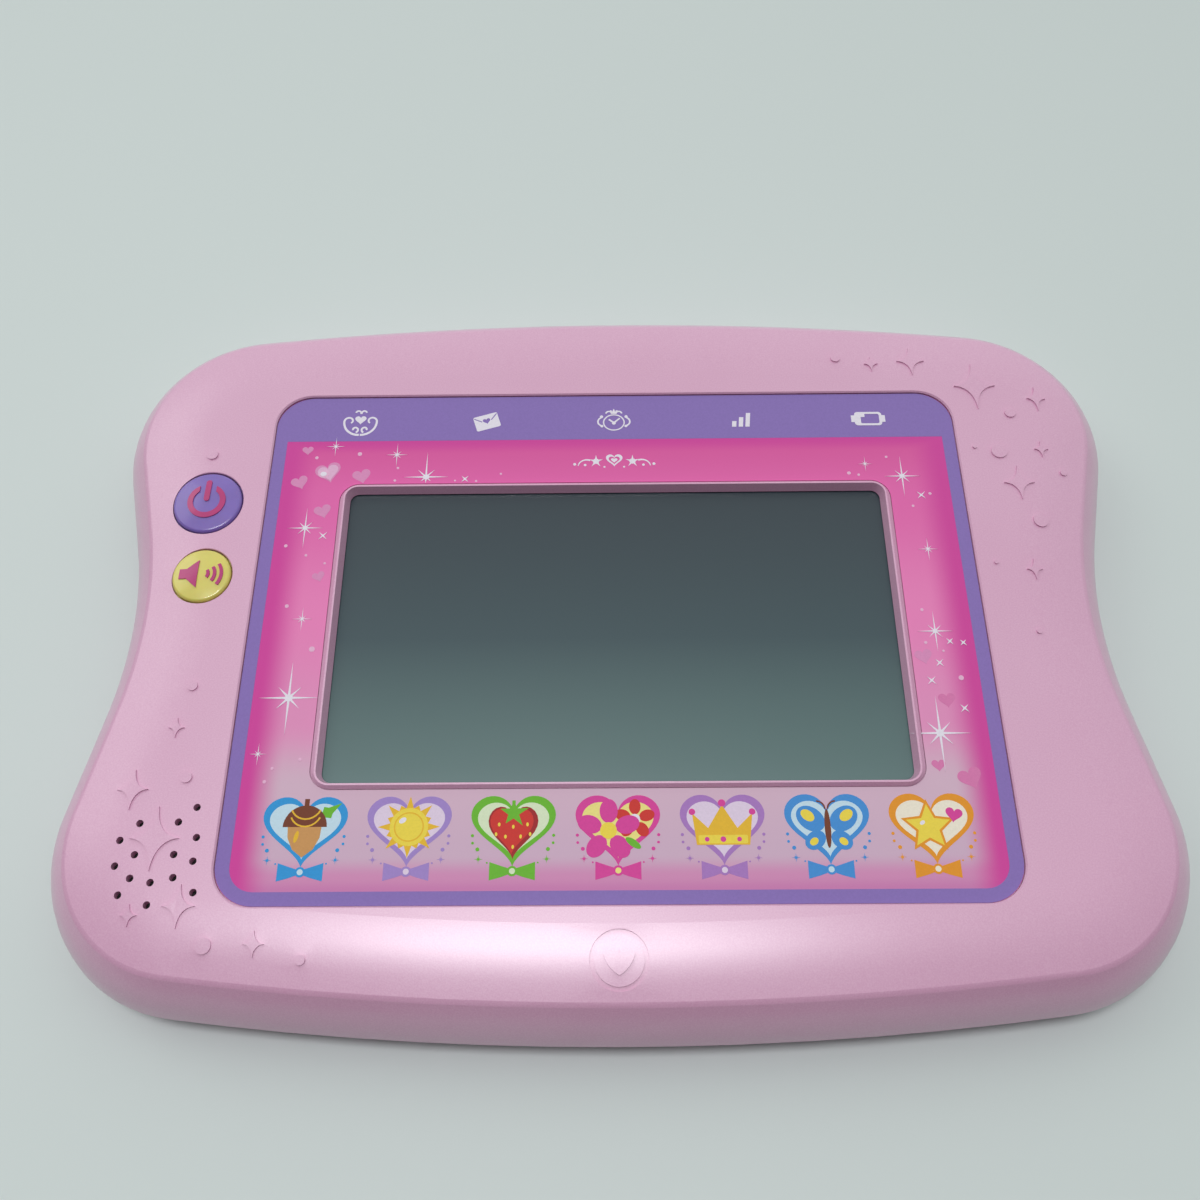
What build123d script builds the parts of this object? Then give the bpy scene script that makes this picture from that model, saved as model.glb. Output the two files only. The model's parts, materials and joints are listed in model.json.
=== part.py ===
"""Kids toy tablet: a pillow-shaped two-shell case round a seven-inch touch screen.

Millimetres. +Z is up, the screen faces up, +Y runs to the top edge of the tablet and +X to the
right of someone holding it. The origin is on the table, under the middle of the case.
"""
from build123d import *
from math import acos, atan2, cos, hypot, pi, radians, sin, tan
import os

# ---- case outline, seen from above, at the parting line --------------------------------------
CASE_DEPTH = 220.2          # top edge to bottom edge
SHOULDER_WIDTH = 298.7      # widest place of the upper half
SHOULDER_Y = 61.2
SHOULDER_RADIUS = 43.0
WAIST_WIDTH = 279.2         # narrow place between the two lobes
WAIST_Y = 0.9
WAIST_RADIUS = 120.7
HIP_WIDTH = 298.8           # widest place of the lower half
HIP_Y = -61.4
HIP_RADIUS = 42.1

# ---- heights ---------------------------------------------------------------------------------
FOOT_HEIGHT = 1.5           # rubber foot below the rear case
PARTING_Z = 12.0
CREASE_Z = 25.6             # where the drafted side wall turns into the face
PLATEAU_Z = 28.0            # flat middle of the face
WALL_LEAN = 8.2             # how far the side wall leans in between parting line and crease
WALL_BULGE = 1.6            # how far it stands out of the straight line half way up
DOME_RUN = 18.8             # crease to the edge of the flat plateau
DOME_SECTIONS = 4
CREASE_RADIUS = 3.0
WALL = 2.4                  # case wall
REAR_REVEAL = 0.5           # the rear case stands back this far at the parting line
REAR_LEAN = 4.0
REAR_RADIUS = 5.0
JOINT_GAP = 0.1             # slip gap between neighbours that only lie together

# ---- face panel and screen -------------------------------------------------------------------
PANEL_WIDTH = 203.1
PANEL_DEPTH = 152.9
PANEL_RADIUS = 10.5
PANEL_Y = -2.2
PANEL_STEP = 0.8            # the film lies this far below the plateau
PANEL_CHAMFER = 0.4         # round the top edge of the film's recess
FILM_THICKNESS = 0.4
MEMBRANE_THICKNESS = 0.3
TRAY_THICKNESS = 2.0        # case floor under the panel
EDGE_GAP = 0.2              # film edge to recess edge

SCREEN_Y = -2.7
WINDOW_WIDTH = 154.5
WINDOW_DEPTH = 87.2
WINDOW_RADIUS = 2.5
WINDOW_FLARE = 2.2          # the opening widens by this much up to the crest
BEZEL_WIDTH = 160.0
BEZEL_DEPTH = 92.0
BEZEL_RADIUS = 5.5
BEZEL_RISE = 1.0            # crest of the screen rim above the film
GLASS_DROP = 2.5            # touch glass below the film
GLASS_THICKNESS = 1.1
GASKET_THICKNESS = 0.5
GLASS_LAP = 5.2             # glass hidden under the case on each side
SCREEN_AIR = 0.4
LCD_WIDTH = 165.0
LCD_DEPTH = 100.0
LCD_THICKNESS = 5.7
LCD_RIM = 2.5
CELL_THICKNESS = 1.3
BRACKET_THICKNESS = 1.6
BRACKET_RIM = 9.0

# ---- buttons: place, cap diameter ------------------------------------------------------------
POWER_AT = (-118.3, 37.1)
POWER_DIAMETER = 19.8
SOUND_AT = (-116.6, 13.3)
SOUND_DIAMETER = 16.5
BUTTON_GAP = 0.4
BUTTON_TRAVEL = 1.2
BUTTON_PROUD = 1.1          # crown of a cap above the face
CROWN_SAG = 0.9             # height of a cap's domed top
FLANGE_LAP = 1.6
FLANGE_THICKNESS = 1.2
FLANGE_CEILING = 2.9        # plateau down to the flange's stop
DOME_HEIGHT = 4.0
DOME_DIAMETER = 9.0
BOARD_THICKNESS = 1.6
SYMBOL_RISE = 0.35

# ---- speaker ---------------------------------------------------------------------------------
SPEAKER_AT = (-116.0, -65.8)
SPEAKER_DIAMETER = 36.0
SPEAKER_DEPTH = 7.4
SPEAKER_RIM = 2.2
SPEAKER_SEAT = 4.0          # plateau down to the speaker's seat
SOUND_HOLE = 1.9

# ---- batteries -------------------------------------------------------------------------------
CELL_LENGTH = 50.5
CELL_DIAMETER = 14.5
CELL_GAP = 0.8              # between cell and bay wall
SPRING_SPACE = 5.0
PLATE_THICKNESS = 0.4
BAY_WALL = 1.8
BAY_Y = 71.0
DOOR_GAP = 0.3
DOOR_TAB_REACH = 2.6
DOOR_TAB_THICKNESS = 1.5
DOOR_EAR_RADIUS = 5.5
DOOR_EAR_REACH = 6.0
DOOR_RIBS = 4               # grip ribs by the ear
DOOR_RIB_LENGTH = 22.0
DOOR_RIB_PITCH = 3.0
DOOR_RIB_RISE = 0.5

# ---- main board ------------------------------------------------------------------------------
BOARD_WIDTH = 112.0
BOARD_DEPTH = 72.0
BOARD_Y = -42.0
BOARD_Z = 9.0
CONNECTOR_HEIGHT = 4.2
WIRE_DIAMETER = 1.3

# ---- fasteners -------------------------------------------------------------------------------
SCREW_DIAMETER = 3.0
SCREW_HEAD = 5.6
SCREW_HEAD_HEIGHT = 2.0
SMALL_SCREW = 2.3
SMALL_HEAD = 4.4
SMALL_HEAD_HEIGHT = 1.6
BOSS_DIAMETER = 7.5
SMALL_BOSS = 6.0
BORE_GAP = 0.1
CASE_SCREWS = [(92, -91), (131, -38), (126, 74), (76, 91)]

# ---- worked out ------------------------------------------------------------------------------
REAR_Z = FOOT_HEIGHT
FLOOR_Z = REAR_Z + WALL
FILM_TOP = PLATEAU_Z - PANEL_STEP
MEMBRANE_TOP = FILM_TOP - FILM_THICKNESS
RECESS_Z = MEMBRANE_TOP - MEMBRANE_THICKNESS
TRAY_Z = RECESS_Z - TRAY_THICKNESS
GLASS_TOP = FILM_TOP - GLASS_DROP
SURROUND_Z = GLASS_TOP + GASKET_THICKNESS
GLASS_Z = GLASS_TOP - GLASS_THICKNESS
GLASS_WIDTH = WINDOW_WIDTH + 2 * GLASS_LAP
GLASS_DEPTH = WINDOW_DEPTH + 2 * GLASS_LAP
LCD_TOP = GLASS_Z - SCREEN_AIR
LCD_Z = LCD_TOP - LCD_THICKNESS
BRACKET_Z = LCD_Z - BRACKET_THICKNESS
FLANGE_TOP = PLATEAU_Z - FLANGE_CEILING
FLANGE_Z = FLANGE_TOP - FLANGE_THICKNESS
BUTTON_BOARD_TOP = FLANGE_Z - DOME_HEIGHT
BUTTON_BOARD_Z = BUTTON_BOARD_TOP - BOARD_THICKNESS
SEAT_Z = PLATEAU_Z - SPEAKER_SEAT
BOARD_TOP = BOARD_Z + BOARD_THICKNESS
POCKET_LENGTH = CELL_LENGTH + SPRING_SPACE + 2 * PLATE_THICKNESS
BAY_HALF_X = POCKET_LENGTH + BAY_WALL / 2
BAY_HALF_Y = CELL_DIAMETER + 2 * CELL_GAP + BAY_WALL / 2
CELL_Z = FLOOR_Z + JOINT_GAP + CELL_DIAMETER / 2
BAY_ROOF = CELL_Z + CELL_DIAMETER / 2 + CELL_GAP

os.makedirs("parts", exist_ok=True)


def save(name, *solids):
    """Write one node; several separate solids may share it."""
    shape = solids[0] if len(solids) == 1 else Compound(children=[Part() + s for s in solids])
    export_step(shape, f"parts/{name}.step")


def block(x0, x1, y0, y1, z0, z1):
    """An upright box between two corners."""
    middle = ((x0 + x1) / 2, (y0 + y1) / 2, (z0 + z1) / 2)
    return Pos(*middle) * Box(x1 - x0, y1 - y0, z1 - z0)


def post(at, diameter, z0, z1):
    """An upright round post or bore."""
    return Pos(at[0], at[1], (z0 + z1) / 2) * Cylinder(diameter / 2, z1 - z0)


def rounded(width, depth, radius, y, z0, z1):
    """A slab with rounded corners, centred on X = 0."""
    return Pos(0, y, z0) * extrude(RectangleRounded(width, depth, radius), z1 - z0)


# ---- the case's form -------------------------------------------------------------------------
def ray(centre, radius, angle):
    """The point of a circle at an angle; a negative radius gives the far side."""
    return Vector(centre[0] + radius * cos(angle), centre[1] + radius * sin(angle))


def arc(centre, radius, start, end):
    """An arc between two angles."""
    return ThreePointArc(*(ray(centre, radius, a) for a in (start, (start + end) / 2, end)))


def end_arc(corner, radius, side):
    """Centre and radius of the long arc over one end (side is 1 or -1), tangent to its corner arc."""
    reach = side * corner[1] - CASE_DEPTH / 2
    long_radius = (radius ** 2 - corner[0] ** 2 - reach ** 2) / (2 * (reach + radius))
    return (0, side * (CASE_DEPTH / 2 - long_radius)), long_radius


def flank_angle(corner, radius, waist, side):
    """The normal's angle on the straight flank between a corner arc and the waist arc."""
    across = atan2(waist[1] - corner[1], waist[0] - corner[0])
    apart = hypot(waist[0] - corner[0], waist[1] - corner[1])
    return across + side * acos((radius + WAIST_RADIUS) / apart)


SHOULDER = (SHOULDER_WIDTH / 2 - SHOULDER_RADIUS, SHOULDER_Y)
HIP = (HIP_WIDTH / 2 - HIP_RADIUS, HIP_Y)
WAIST = (WAIST_WIDTH / 2 + WAIST_RADIUS, WAIST_Y)
TOP_ARC, TOP_RADIUS = end_arc(SHOULDER, SHOULDER_RADIUS, 1)
BOTTOM_ARC, BOTTOM_RADIUS = end_arc(HIP, HIP_RADIUS, -1)
UPPER_FLANK = flank_angle(SHOULDER, SHOULDER_RADIUS, WAIST, 1)
LOWER_FLANK = flank_angle(HIP, HIP_RADIUS, WAIST, -1)
UPPER_END = atan2(SHOULDER[1] - TOP_ARC[1], SHOULDER[0])
LOWER_END = atan2(HIP[1] - BOTTOM_ARC[1], HIP[0])


def outline(inset, z):
    """The case's outline at a height, moved inwards by an inset."""
    waist_radius = -(WAIST_RADIUS + inset)
    shoulder_radius = SHOULDER_RADIUS - inset
    hip_radius = HIP_RADIUS - inset
    half = [
        arc(TOP_ARC, TOP_RADIUS - inset, pi / 2, UPPER_END),
        arc(SHOULDER, shoulder_radius, UPPER_END, UPPER_FLANK),
        Line(ray(SHOULDER, shoulder_radius, UPPER_FLANK), ray(WAIST, waist_radius, UPPER_FLANK)),
        arc(WAIST, waist_radius, UPPER_FLANK, LOWER_FLANK),
        Line(ray(WAIST, waist_radius, LOWER_FLANK), ray(HIP, hip_radius, LOWER_FLANK)),
        arc(HIP, hip_radius, LOWER_FLANK, LOWER_END),
        arc(BOTTOM_ARC, BOTTOM_RADIUS - inset, LOWER_END, -pi / 2),
    ]
    other = [edge.mirror(Plane.YZ) for edge in half]
    return Pos(0, 0, z) * make_face(Wire(half + other))


def crown(inset, lift):
    """The shallow dome between the crease and the plateau."""
    steps = [i / DOME_SECTIONS for i in range(DOME_SECTIONS + 1)]
    rise = PLATEAU_Z - CREASE_Z
    return loft([outline(inset + WALL_LEAN + DOME_RUN * t,
                         CREASE_Z + lift + rise * (1 - (1 - t) ** 2)) for t in steps])


def front_form(inset, lift):
    """The front half as a solid: a leaning, slightly bulging side wall under the dome."""
    half_way = outline(inset + WALL_LEAN / 2 - WALL_BULGE, (PARTING_Z + CREASE_Z + lift) / 2)
    wall = loft([outline(inset, PARTING_Z), half_way, outline(inset + WALL_LEAN, CREASE_Z + lift)])
    return wall + crown(inset, lift)


def rear_form(inset, floor):
    """The rear half as a solid, narrower at its floor."""
    return loft([outline(inset + REAR_LEAN, floor), outline(inset, PARTING_Z)], ruled=True)


def ring_wall(outer, inner, z0, z1):
    """A wall that follows the outline."""
    return extrude(outline(outer, z0), z1 - z0) - extrude(outline(inner, z0), z1 - z0)


# ---- raised ornaments on the face ------------------------------------------------------------
# stars: x, y, height, width
STARS = [
    (-125.2, -48.7, 10.7, 8.3), (-117.4, -61.5, 16.6, 12.6), (-108.7, -78.5, 10.8, 8.3),
    (-120.9, -80.6, 5.4, 4.4), (-89.1, -87.6, 6.3, 5.4), (-116.4, -32.0, 5.5, 4.3),
    (79.1, 84.6, 5.7, 4.2), (91.3, 85.6, 10.8, 8.4), (109.5, 75.9, 16.8, 12.4),
    (127.5, 71.3, 8.9, 5.8), (126.0, 53.1, 5.6, 4.2), (117.7, 41.6, 11.4, 8.9),
    (117.5, 13.3, 6.5, 4.5),
]
# dots: x, y, diameter
DOTS = [
    (-114.0, -20.1, 2.8), (-111.8, -45.5, 3.1), (-101.5, -87.9, 4.0), (-77.4, -91.3, 2.5),
    (-119.2, 53.5, 3.4), (68.4, 87.0, 2.9), (118.8, 66.0, 3.2), (113.5, 52.5, 4.7),
    (121.9, 29.1, 4.3), (131.5, 45.4, 2.1), (106.5, 54.1, 1.2), (107.0, 15.6, 1.2),
    (115.5, -5.7, 1.5),
]
SOUND_HOLES = [
    (-107.8, -53.5), (-112.0, -57.3), (-121.8, -57.6), (-126.2, -61.9), (-106.8, -61.3),
    (-121.8, -65.6), (-111.9, -65.6), (-106.8, -67.3), (-126.4, -68.4), (-122.0, -71.5),
    (-116.7, -72.6), (-111.2, -71.4), (-124.4, -75.6), (-105.6, -75.1), (-116.7, -78.1),
]
RELIEF = 0.5                # height of stars and dots
EMBLEM_AT = (0.0, -91.6)
EMBLEM_DIAMETER = 14.5
EMBLEM_GROOVE = 1.1
EMBLEM_DEPTH = 0.5
HEART_WIDTH = 7.6
STAR_FULLNESS = 0.08        # 0 would draw a star's hollow sides right in towards its middle


def star(height, width):
    """A four-pointed star with hollow sides."""
    tips = [(0, height / 2), (-width / 2, 0), (0, -height / 2), (width / 2, 0)]
    sides = []
    for start, end in zip(tips, tips[1:] + tips[:1]):
        pull = (STAR_FULLNESS * (start[0] + end[0]), STAR_FULLNESS * (start[1] + end[1]))
        sides.append(Bezier(start, pull, end))
    return make_face(Wire(sides))


def heart(width):
    """A plain heart: two round lobes over a point."""
    lobe = width / 4
    right = [ThreePointArc((0, lobe * 0.6), (lobe, lobe * 1.6), (2 * lobe, lobe * 0.6)),
             ThreePointArc((2 * lobe, lobe * 0.6), (lobe * 1.35, -lobe * 0.75), (0, -lobe * 1.9))]
    left = [edge.mirror(Plane.YZ) for edge in right]
    return make_face(Wire(right + left))


def ornaments():
    """Stars and dots as upright prisms, cut to a height by the dome that they stand on."""
    prisms = [Pos(x, y, CREASE_Z) * extrude(star(height, width), 4) for x, y, height, width in STARS]
    prisms += [post((x, y), diameter, CREASE_Z, CREASE_Z + 4) for x, y, diameter in DOTS]
    prisms.append(Pos(*EMBLEM_AT, CREASE_Z) * extrude(heart(HEART_WIDTH), 4))
    face = crown(0, RELIEF)
    return [prism & face for prism in prisms]


def emblem_groove():
    """The ring pressed into the face round the heart."""
    outer = post(EMBLEM_AT, EMBLEM_DIAMETER, CREASE_Z, PLATEAU_Z)
    inner = post(EMBLEM_AT, EMBLEM_DIAMETER - 2 * EMBLEM_GROOVE, CREASE_Z, PLATEAU_Z)
    return outer - inner - crown(0, -EMBLEM_DEPTH)


# ---- the two shells --------------------------------------------------------------------------
BRACKET_POSTS = [(x * (LCD_WIDTH / 2 + 6), SCREEN_Y + y * (LCD_DEPTH / 2 - 12))
                 for x in (-1, 1) for y in (-1, 1)]
CLAMP_REACH = SPEAKER_DIAMETER / 2 + 5.0
CLAMP_POSTS = [tuple(ray(SPEAKER_AT, CLAMP_REACH, radians(a)))[:2] for a in (32, 152, 272)]
BUTTON_POSTS = [(-118.0, POWER_AT[1] + 16.5), (-118.0, SOUND_AT[1] - 14.5)]
TAIL_AT = (40.0, PANEL_Y - PANEL_DEPTH / 2 + 4.5)
TAIL_WIDTH = 14.0
ALL_CASE_SCREWS = [(side * x, y) for x, y in CASE_SCREWS for side in (-1, 1)]
REAR_BOSS_Z = PARTING_Z - 2
SCREW_SEAT_Z = 7.0
SCREW_LENGTH = 11.0
TONGUE = 1.1
FRONT_BOSS_Z = REAR_BOSS_Z + JOINT_GAP


def screen_rim():
    """The raised frame round the screen, with its opening flared towards the crest."""
    lip = WINDOW_FLARE + 1.0
    base = rounded(BEZEL_WIDTH, BEZEL_DEPTH, BEZEL_RADIUS, SCREEN_Y, TRAY_Z, FILM_TOP)
    rise = loft([Pos(0, SCREEN_Y, FILM_TOP) * RectangleRounded(BEZEL_WIDTH, BEZEL_DEPTH, BEZEL_RADIUS),
                 Pos(0, SCREEN_Y, FILM_TOP + BEZEL_RISE)
                 * RectangleRounded(WINDOW_WIDTH + lip, WINDOW_DEPTH + lip, WINDOW_RADIUS + lip / 2)])
    return base + rise


def screen_opening():
    """The window through the case, flared from the glass up to the crest."""
    low = Pos(0, SCREEN_Y, GLASS_TOP) * RectangleRounded(WINDOW_WIDTH, WINDOW_DEPTH, WINDOW_RADIUS)
    high = (Pos(0, SCREEN_Y, FILM_TOP + BEZEL_RISE)
            * RectangleRounded(WINDOW_WIDTH + WINDOW_FLARE, WINDOW_DEPTH + WINDOW_FLARE,
                               WINDOW_RADIUS + WINDOW_FLARE / 2))
    through = rounded(WINDOW_WIDTH, WINDOW_DEPTH, WINDOW_RADIUS, SCREEN_Y, TRAY_Z - 1, GLASS_TOP)
    return loft([low, high]) + through


def panel_recess():
    """The bed of membrane and film, with a small chamfer round its top edge."""
    bed = rounded(PANEL_WIDTH, PANEL_DEPTH, PANEL_RADIUS, PANEL_Y, RECESS_Z, PLATEAU_Z + 1)
    spread = 2 * PANEL_CHAMFER
    mouth = loft([Pos(0, PANEL_Y, PLATEAU_Z - PANEL_CHAMFER)
                  * RectangleRounded(PANEL_WIDTH, PANEL_DEPTH, PANEL_RADIUS),
                  Pos(0, PANEL_Y, PLATEAU_Z + PANEL_CHAMFER)
                  * RectangleRounded(PANEL_WIDTH + 2 * spread, PANEL_DEPTH + 2 * spread,
                                     PANEL_RADIUS + spread)])
    return bed + mouth


def button_well(at, diameter):
    """The bore that a cap slides in, with a small chamfer at the face."""
    bore = post(at, diameter + 2 * BUTTON_GAP, FLANGE_TOP - 1, PLATEAU_Z + 2)
    edge = diameter / 2 + BUTTON_GAP
    mouth = Pos(at[0], at[1], PLATEAU_Z) * Cone(edge - 0.4, edge + 0.8, 1.2)
    return bore + mouth


def front_case():
    """Front shell with the panel tray, screen rim, wells, speaker seat and screw posts."""
    outer = front_form(0, 0)
    crease = outer.edges().filter_by_position(Axis.Z, CREASE_Z - 0.01, CREASE_Z + 0.01)
    shell = fillet(crease, CREASE_RADIUS) - front_form(WALL, -WALL)
    shell += rounded(PANEL_WIDTH + 2 * WALL, PANEL_DEPTH + 2 * WALL, PANEL_RADIUS + WALL, PANEL_Y,
                     TRAY_Z, PLATEAU_Z - WALL / 2)
    for at, diameter in ((POWER_AT, POWER_DIAMETER), (SOUND_AT, SOUND_DIAMETER)):
        shell += post(at, diameter + 2 * FLANGE_LAP + 2 * WALL, FLANGE_TOP + JOINT_GAP, CREASE_Z + 0.5)
        shell -= post(at, diameter + 2 * FLANGE_LAP + 2 * BUTTON_GAP, FLANGE_Z - BUTTON_TRAVEL - 0.8,
                      FLANGE_TOP + JOINT_GAP)
    shell += post(SPEAKER_AT, SPEAKER_DIAMETER + 2 * WALL, SEAT_Z, CREASE_Z + 0.5)
    for at in ALL_CASE_SCREWS:
        shell += post(at, BOSS_DIAMETER, FRONT_BOSS_Z, CREASE_Z)
    for at in BRACKET_POSTS:
        shell += post(at, SMALL_BOSS, LCD_Z, TRAY_Z + 0.5)
    for at in CLAMP_POSTS:
        shell += post(at, SMALL_BOSS, SEAT_Z - GASKET_THICKNESS - 1.0, CREASE_Z)
    for at in BUTTON_POSTS:
        shell += post(at, SMALL_BOSS, BUTTON_BOARD_TOP, CREASE_Z)
    shell -= panel_recess()
    shell += screen_rim()
    shell -= rounded(GLASS_WIDTH + 2 * EDGE_GAP, GLASS_DEPTH + 2 * EDGE_GAP, 1.0, SCREEN_Y,
                     TRAY_Z - 1, SURROUND_Z)
    shell -= screen_opening()
    for at, diameter in ((POWER_AT, POWER_DIAMETER), (SOUND_AT, SOUND_DIAMETER)):
        shell -= button_well(at, diameter)
    shell -= post(SPEAKER_AT, SPEAKER_DIAMETER - 2 * SPEAKER_RIM + 2.4, SEAT_Z - 1, CREASE_Z)
    for at in SOUND_HOLES:
        shell -= post(at, SOUND_HOLE, CREASE_Z - 1, PLATEAU_Z + 1)
    for at in ALL_CASE_SCREWS:
        shell -= post(at, SCREW_DIAMETER + 2 * BORE_GAP, FRONT_BOSS_Z, SCREW_SEAT_Z + SCREW_LENGTH + 1)
    for at in BRACKET_POSTS:
        shell -= post(at, SMALL_SCREW + 2 * BORE_GAP, LCD_Z, TRAY_Z)
    for at in CLAMP_POSTS:
        shell -= post(at, SMALL_SCREW + 2 * BORE_GAP, SEAT_Z - 4, CREASE_Z - 0.6)
    for at in BUTTON_POSTS:
        shell -= post(at, SMALL_SCREW + 2 * BORE_GAP, BUTTON_BOARD_TOP, CREASE_Z - 0.6)
    shell -= block(TAIL_AT[0] - TAIL_WIDTH / 2 - 0.5, TAIL_AT[0] + TAIL_WIDTH / 2 + 0.5,
                   TAIL_AT[1] - 0.6, TAIL_AT[1] + 0.6, TRAY_Z - 1, RECESS_Z)
    shell -= emblem_groove()
    for ornament in ornaments():
        shell += ornament
    return shell


DOOR_EDGE_Y = BAY_Y - BAY_HALF_Y            # near edge of the bay, where the door hinges
EAR_AT = (0.0, BAY_Y + BAY_HALF_Y + DOOR_EAR_REACH)
EAR_BOSS_Z = 13.0
DOOR_SCREW_BORE = 4.2
DOOR_TABS = (-35.0, 35.0)
DOOR_TAB_WIDTH = 12.0
DOOR_TAB_Z = FLOOR_Z + 0.2
TAB_SLOT_TOP = FLOOR_Z + 4.6
BOARD_POSTS = [(x * (BOARD_WIDTH / 2 - 4), BOARD_Y + y * (BOARD_DEPTH / 2 - 4))
               for x in (-1, 1) for y in (-1, 1)]
FEET = [(side * x, y) for x, y in ((112, 72), (116, -76)) for side in (-1, 1)]
FOOT_DIAMETER = 12.0
FOOT_POCKET = 0.8


def ear(radius):
    """The door's screw ear, seen from above, from the bay's edge outwards."""
    inner_y = BAY_Y + BAY_HALF_Y - 1
    stem = Pos(0, (EAR_AT[1] + inner_y) / 2) * Rectangle(2 * radius, EAR_AT[1] - inner_y)
    return stem + Pos(*EAR_AT) * Circle(radius)


def rear_case():
    """Rear shell with the battery bay, board posts, screw posts and foot pockets."""
    outer = rear_form(REAR_REVEAL, REAR_Z)
    shell = fillet(outer.faces().sort_by(Axis.Z)[0].edges(), REAR_RADIUS)
    shell -= rear_form(REAR_REVEAL + WALL, FLOOR_Z)
    inner = REAR_REVEAL + WALL
    shell += ring_wall(inner - 0.4, inner + 1.6, PARTING_Z - 3, PARTING_Z)
    shell += ring_wall(inner + 1.6 - TONGUE, inner + 1.6, PARTING_Z, PARTING_Z + 1.2)
    bay_x = BAY_HALF_X + BAY_WALL
    bay_y = BAY_HALF_Y + BAY_WALL
    shell += block(-bay_x, bay_x, BAY_Y - bay_y, BAY_Y + bay_y, REAR_Z + 1, BAY_ROOF + BAY_WALL)
    shell += post(EAR_AT, 8.0, FLOOR_Z + JOINT_GAP, EAR_BOSS_Z)
    shell += block(-3, 3, BAY_Y + BAY_HALF_Y + 1, EAR_AT[1] - 2.5, FLOOR_Z + JOINT_GAP, EAR_BOSS_Z)
    for at in ALL_CASE_SCREWS:
        shell += post(at, BOSS_DIAMETER + 2, REAR_Z + 1, REAR_BOSS_Z)
    for at in BOARD_POSTS:
        shell += post(at, SMALL_BOSS, REAR_Z + 1, BOARD_Z)
    shell -= block(-BAY_HALF_X, BAY_HALF_X, BAY_Y - BAY_HALF_Y, BAY_Y + BAY_HALF_Y, REAR_Z - 1, BAY_ROOF)
    shell += block(-BAY_WALL / 2, BAY_WALL / 2, BAY_Y - BAY_HALF_Y, BAY_Y + BAY_HALF_Y,
                   CELL_Z - 4, BAY_ROOF)
    shell += block(-BAY_HALF_X, BAY_HALF_X, BAY_Y - BAY_WALL / 2, BAY_Y + BAY_WALL / 2,
                   CELL_Z - 4, BAY_ROOF)
    shell -= Pos(0, 0, REAR_Z - 1) * extrude(ear(DOOR_EAR_RADIUS + DOOR_GAP), WALL + 1 + JOINT_GAP)
    shell -= post(EAR_AT, DOOR_SCREW_BORE, REAR_Z, EAR_BOSS_Z - 1)
    for x in DOOR_TABS:
        half = DOOR_TAB_WIDTH / 2 + 1
        shell -= block(x - half, x + half, DOOR_EDGE_Y - BAY_WALL - 1, DOOR_EDGE_Y + 1, FLOOR_Z, TAB_SLOT_TOP)
    for at in ALL_CASE_SCREWS:
        shell -= post(at, SCREW_HEAD + 0.6, REAR_Z - 1, SCREW_SEAT_Z)
        shell -= post(at, SCREW_DIAMETER + 0.4, SCREW_SEAT_Z, REAR_BOSS_Z + 1)
    for at in BOARD_POSTS:
        shell -= post(at, SMALL_SCREW + 2 * BORE_GAP, FLOOR_Z, BOARD_Z)
    for at in FEET:
        shell -= post(at, FOOT_DIAMETER + 2 * EDGE_GAP, REAR_Z - 1, REAR_Z + FOOT_POCKET)
    return shell


# ---- film, membrane and screen ---------------------------------------------------------------
def graphic_overlay():
    """Printed film on top of the keys, open round the screen rim."""
    film = rounded(PANEL_WIDTH - 2 * EDGE_GAP, PANEL_DEPTH - 2 * EDGE_GAP, PANEL_RADIUS - EDGE_GAP,
                   PANEL_Y, MEMBRANE_TOP, FILM_TOP)
    return film - rounded(BEZEL_WIDTH + 2 * EDGE_GAP, BEZEL_DEPTH + 2 * EDGE_GAP,
                          BEZEL_RADIUS + EDGE_GAP, SCREEN_Y, MEMBRANE_TOP, FILM_TOP)


def membrane_keys():
    """Switch membrane for the twelve printed keys, with its tail down to the board."""
    sheet = rounded(PANEL_WIDTH - 2, PANEL_DEPTH - 2, PANEL_RADIUS - 1, PANEL_Y, RECESS_Z, MEMBRANE_TOP)
    sheet -= rounded(BEZEL_WIDTH + 1, BEZEL_DEPTH + 1, BEZEL_RADIUS, SCREEN_Y, RECESS_Z, MEMBRANE_TOP)
    tail = block(TAIL_AT[0] - TAIL_WIDTH / 2, TAIL_AT[0] + TAIL_WIDTH / 2,
                 TAIL_AT[1] - MEMBRANE_THICKNESS / 2, TAIL_AT[1] + MEMBRANE_THICKNESS / 2,
                 BOARD_TOP + CONNECTOR_HEIGHT, MEMBRANE_TOP)
    return sheet + tail


def touch_panel():
    """Touch glass under the window."""
    return rounded(GLASS_WIDTH, GLASS_DEPTH, 0.8, SCREEN_Y, GLASS_Z, GLASS_TOP)


def lcd_gasket():
    """Foam frame between the case and the touch glass."""
    ring = rounded(GLASS_WIDTH, GLASS_DEPTH, 0.8, SCREEN_Y, GLASS_TOP, SURROUND_Z)
    return ring - rounded(WINDOW_WIDTH + 2, WINDOW_DEPTH + 2, 2.0, SCREEN_Y, GLASS_TOP, SURROUND_Z)


def lcd_frame():
    """Metal can with the backlight, open at the front for the panel."""
    can = rounded(LCD_WIDTH, LCD_DEPTH, 1.0, SCREEN_Y, LCD_Z, LCD_TOP)
    return can - rounded(LCD_WIDTH - LCD_RIM, LCD_DEPTH - LCD_RIM, 0.5, SCREEN_Y,
                         LCD_TOP - CELL_THICKNESS - 0.2, LCD_TOP)


def lcd_panel():
    """Liquid-crystal glass lying in the can."""
    return rounded(LCD_WIDTH - LCD_RIM - 0.2, LCD_DEPTH - LCD_RIM - 0.2, 0.4, SCREEN_Y,
                   LCD_TOP - CELL_THICKNESS - 0.2, LCD_TOP - 0.2)


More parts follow.
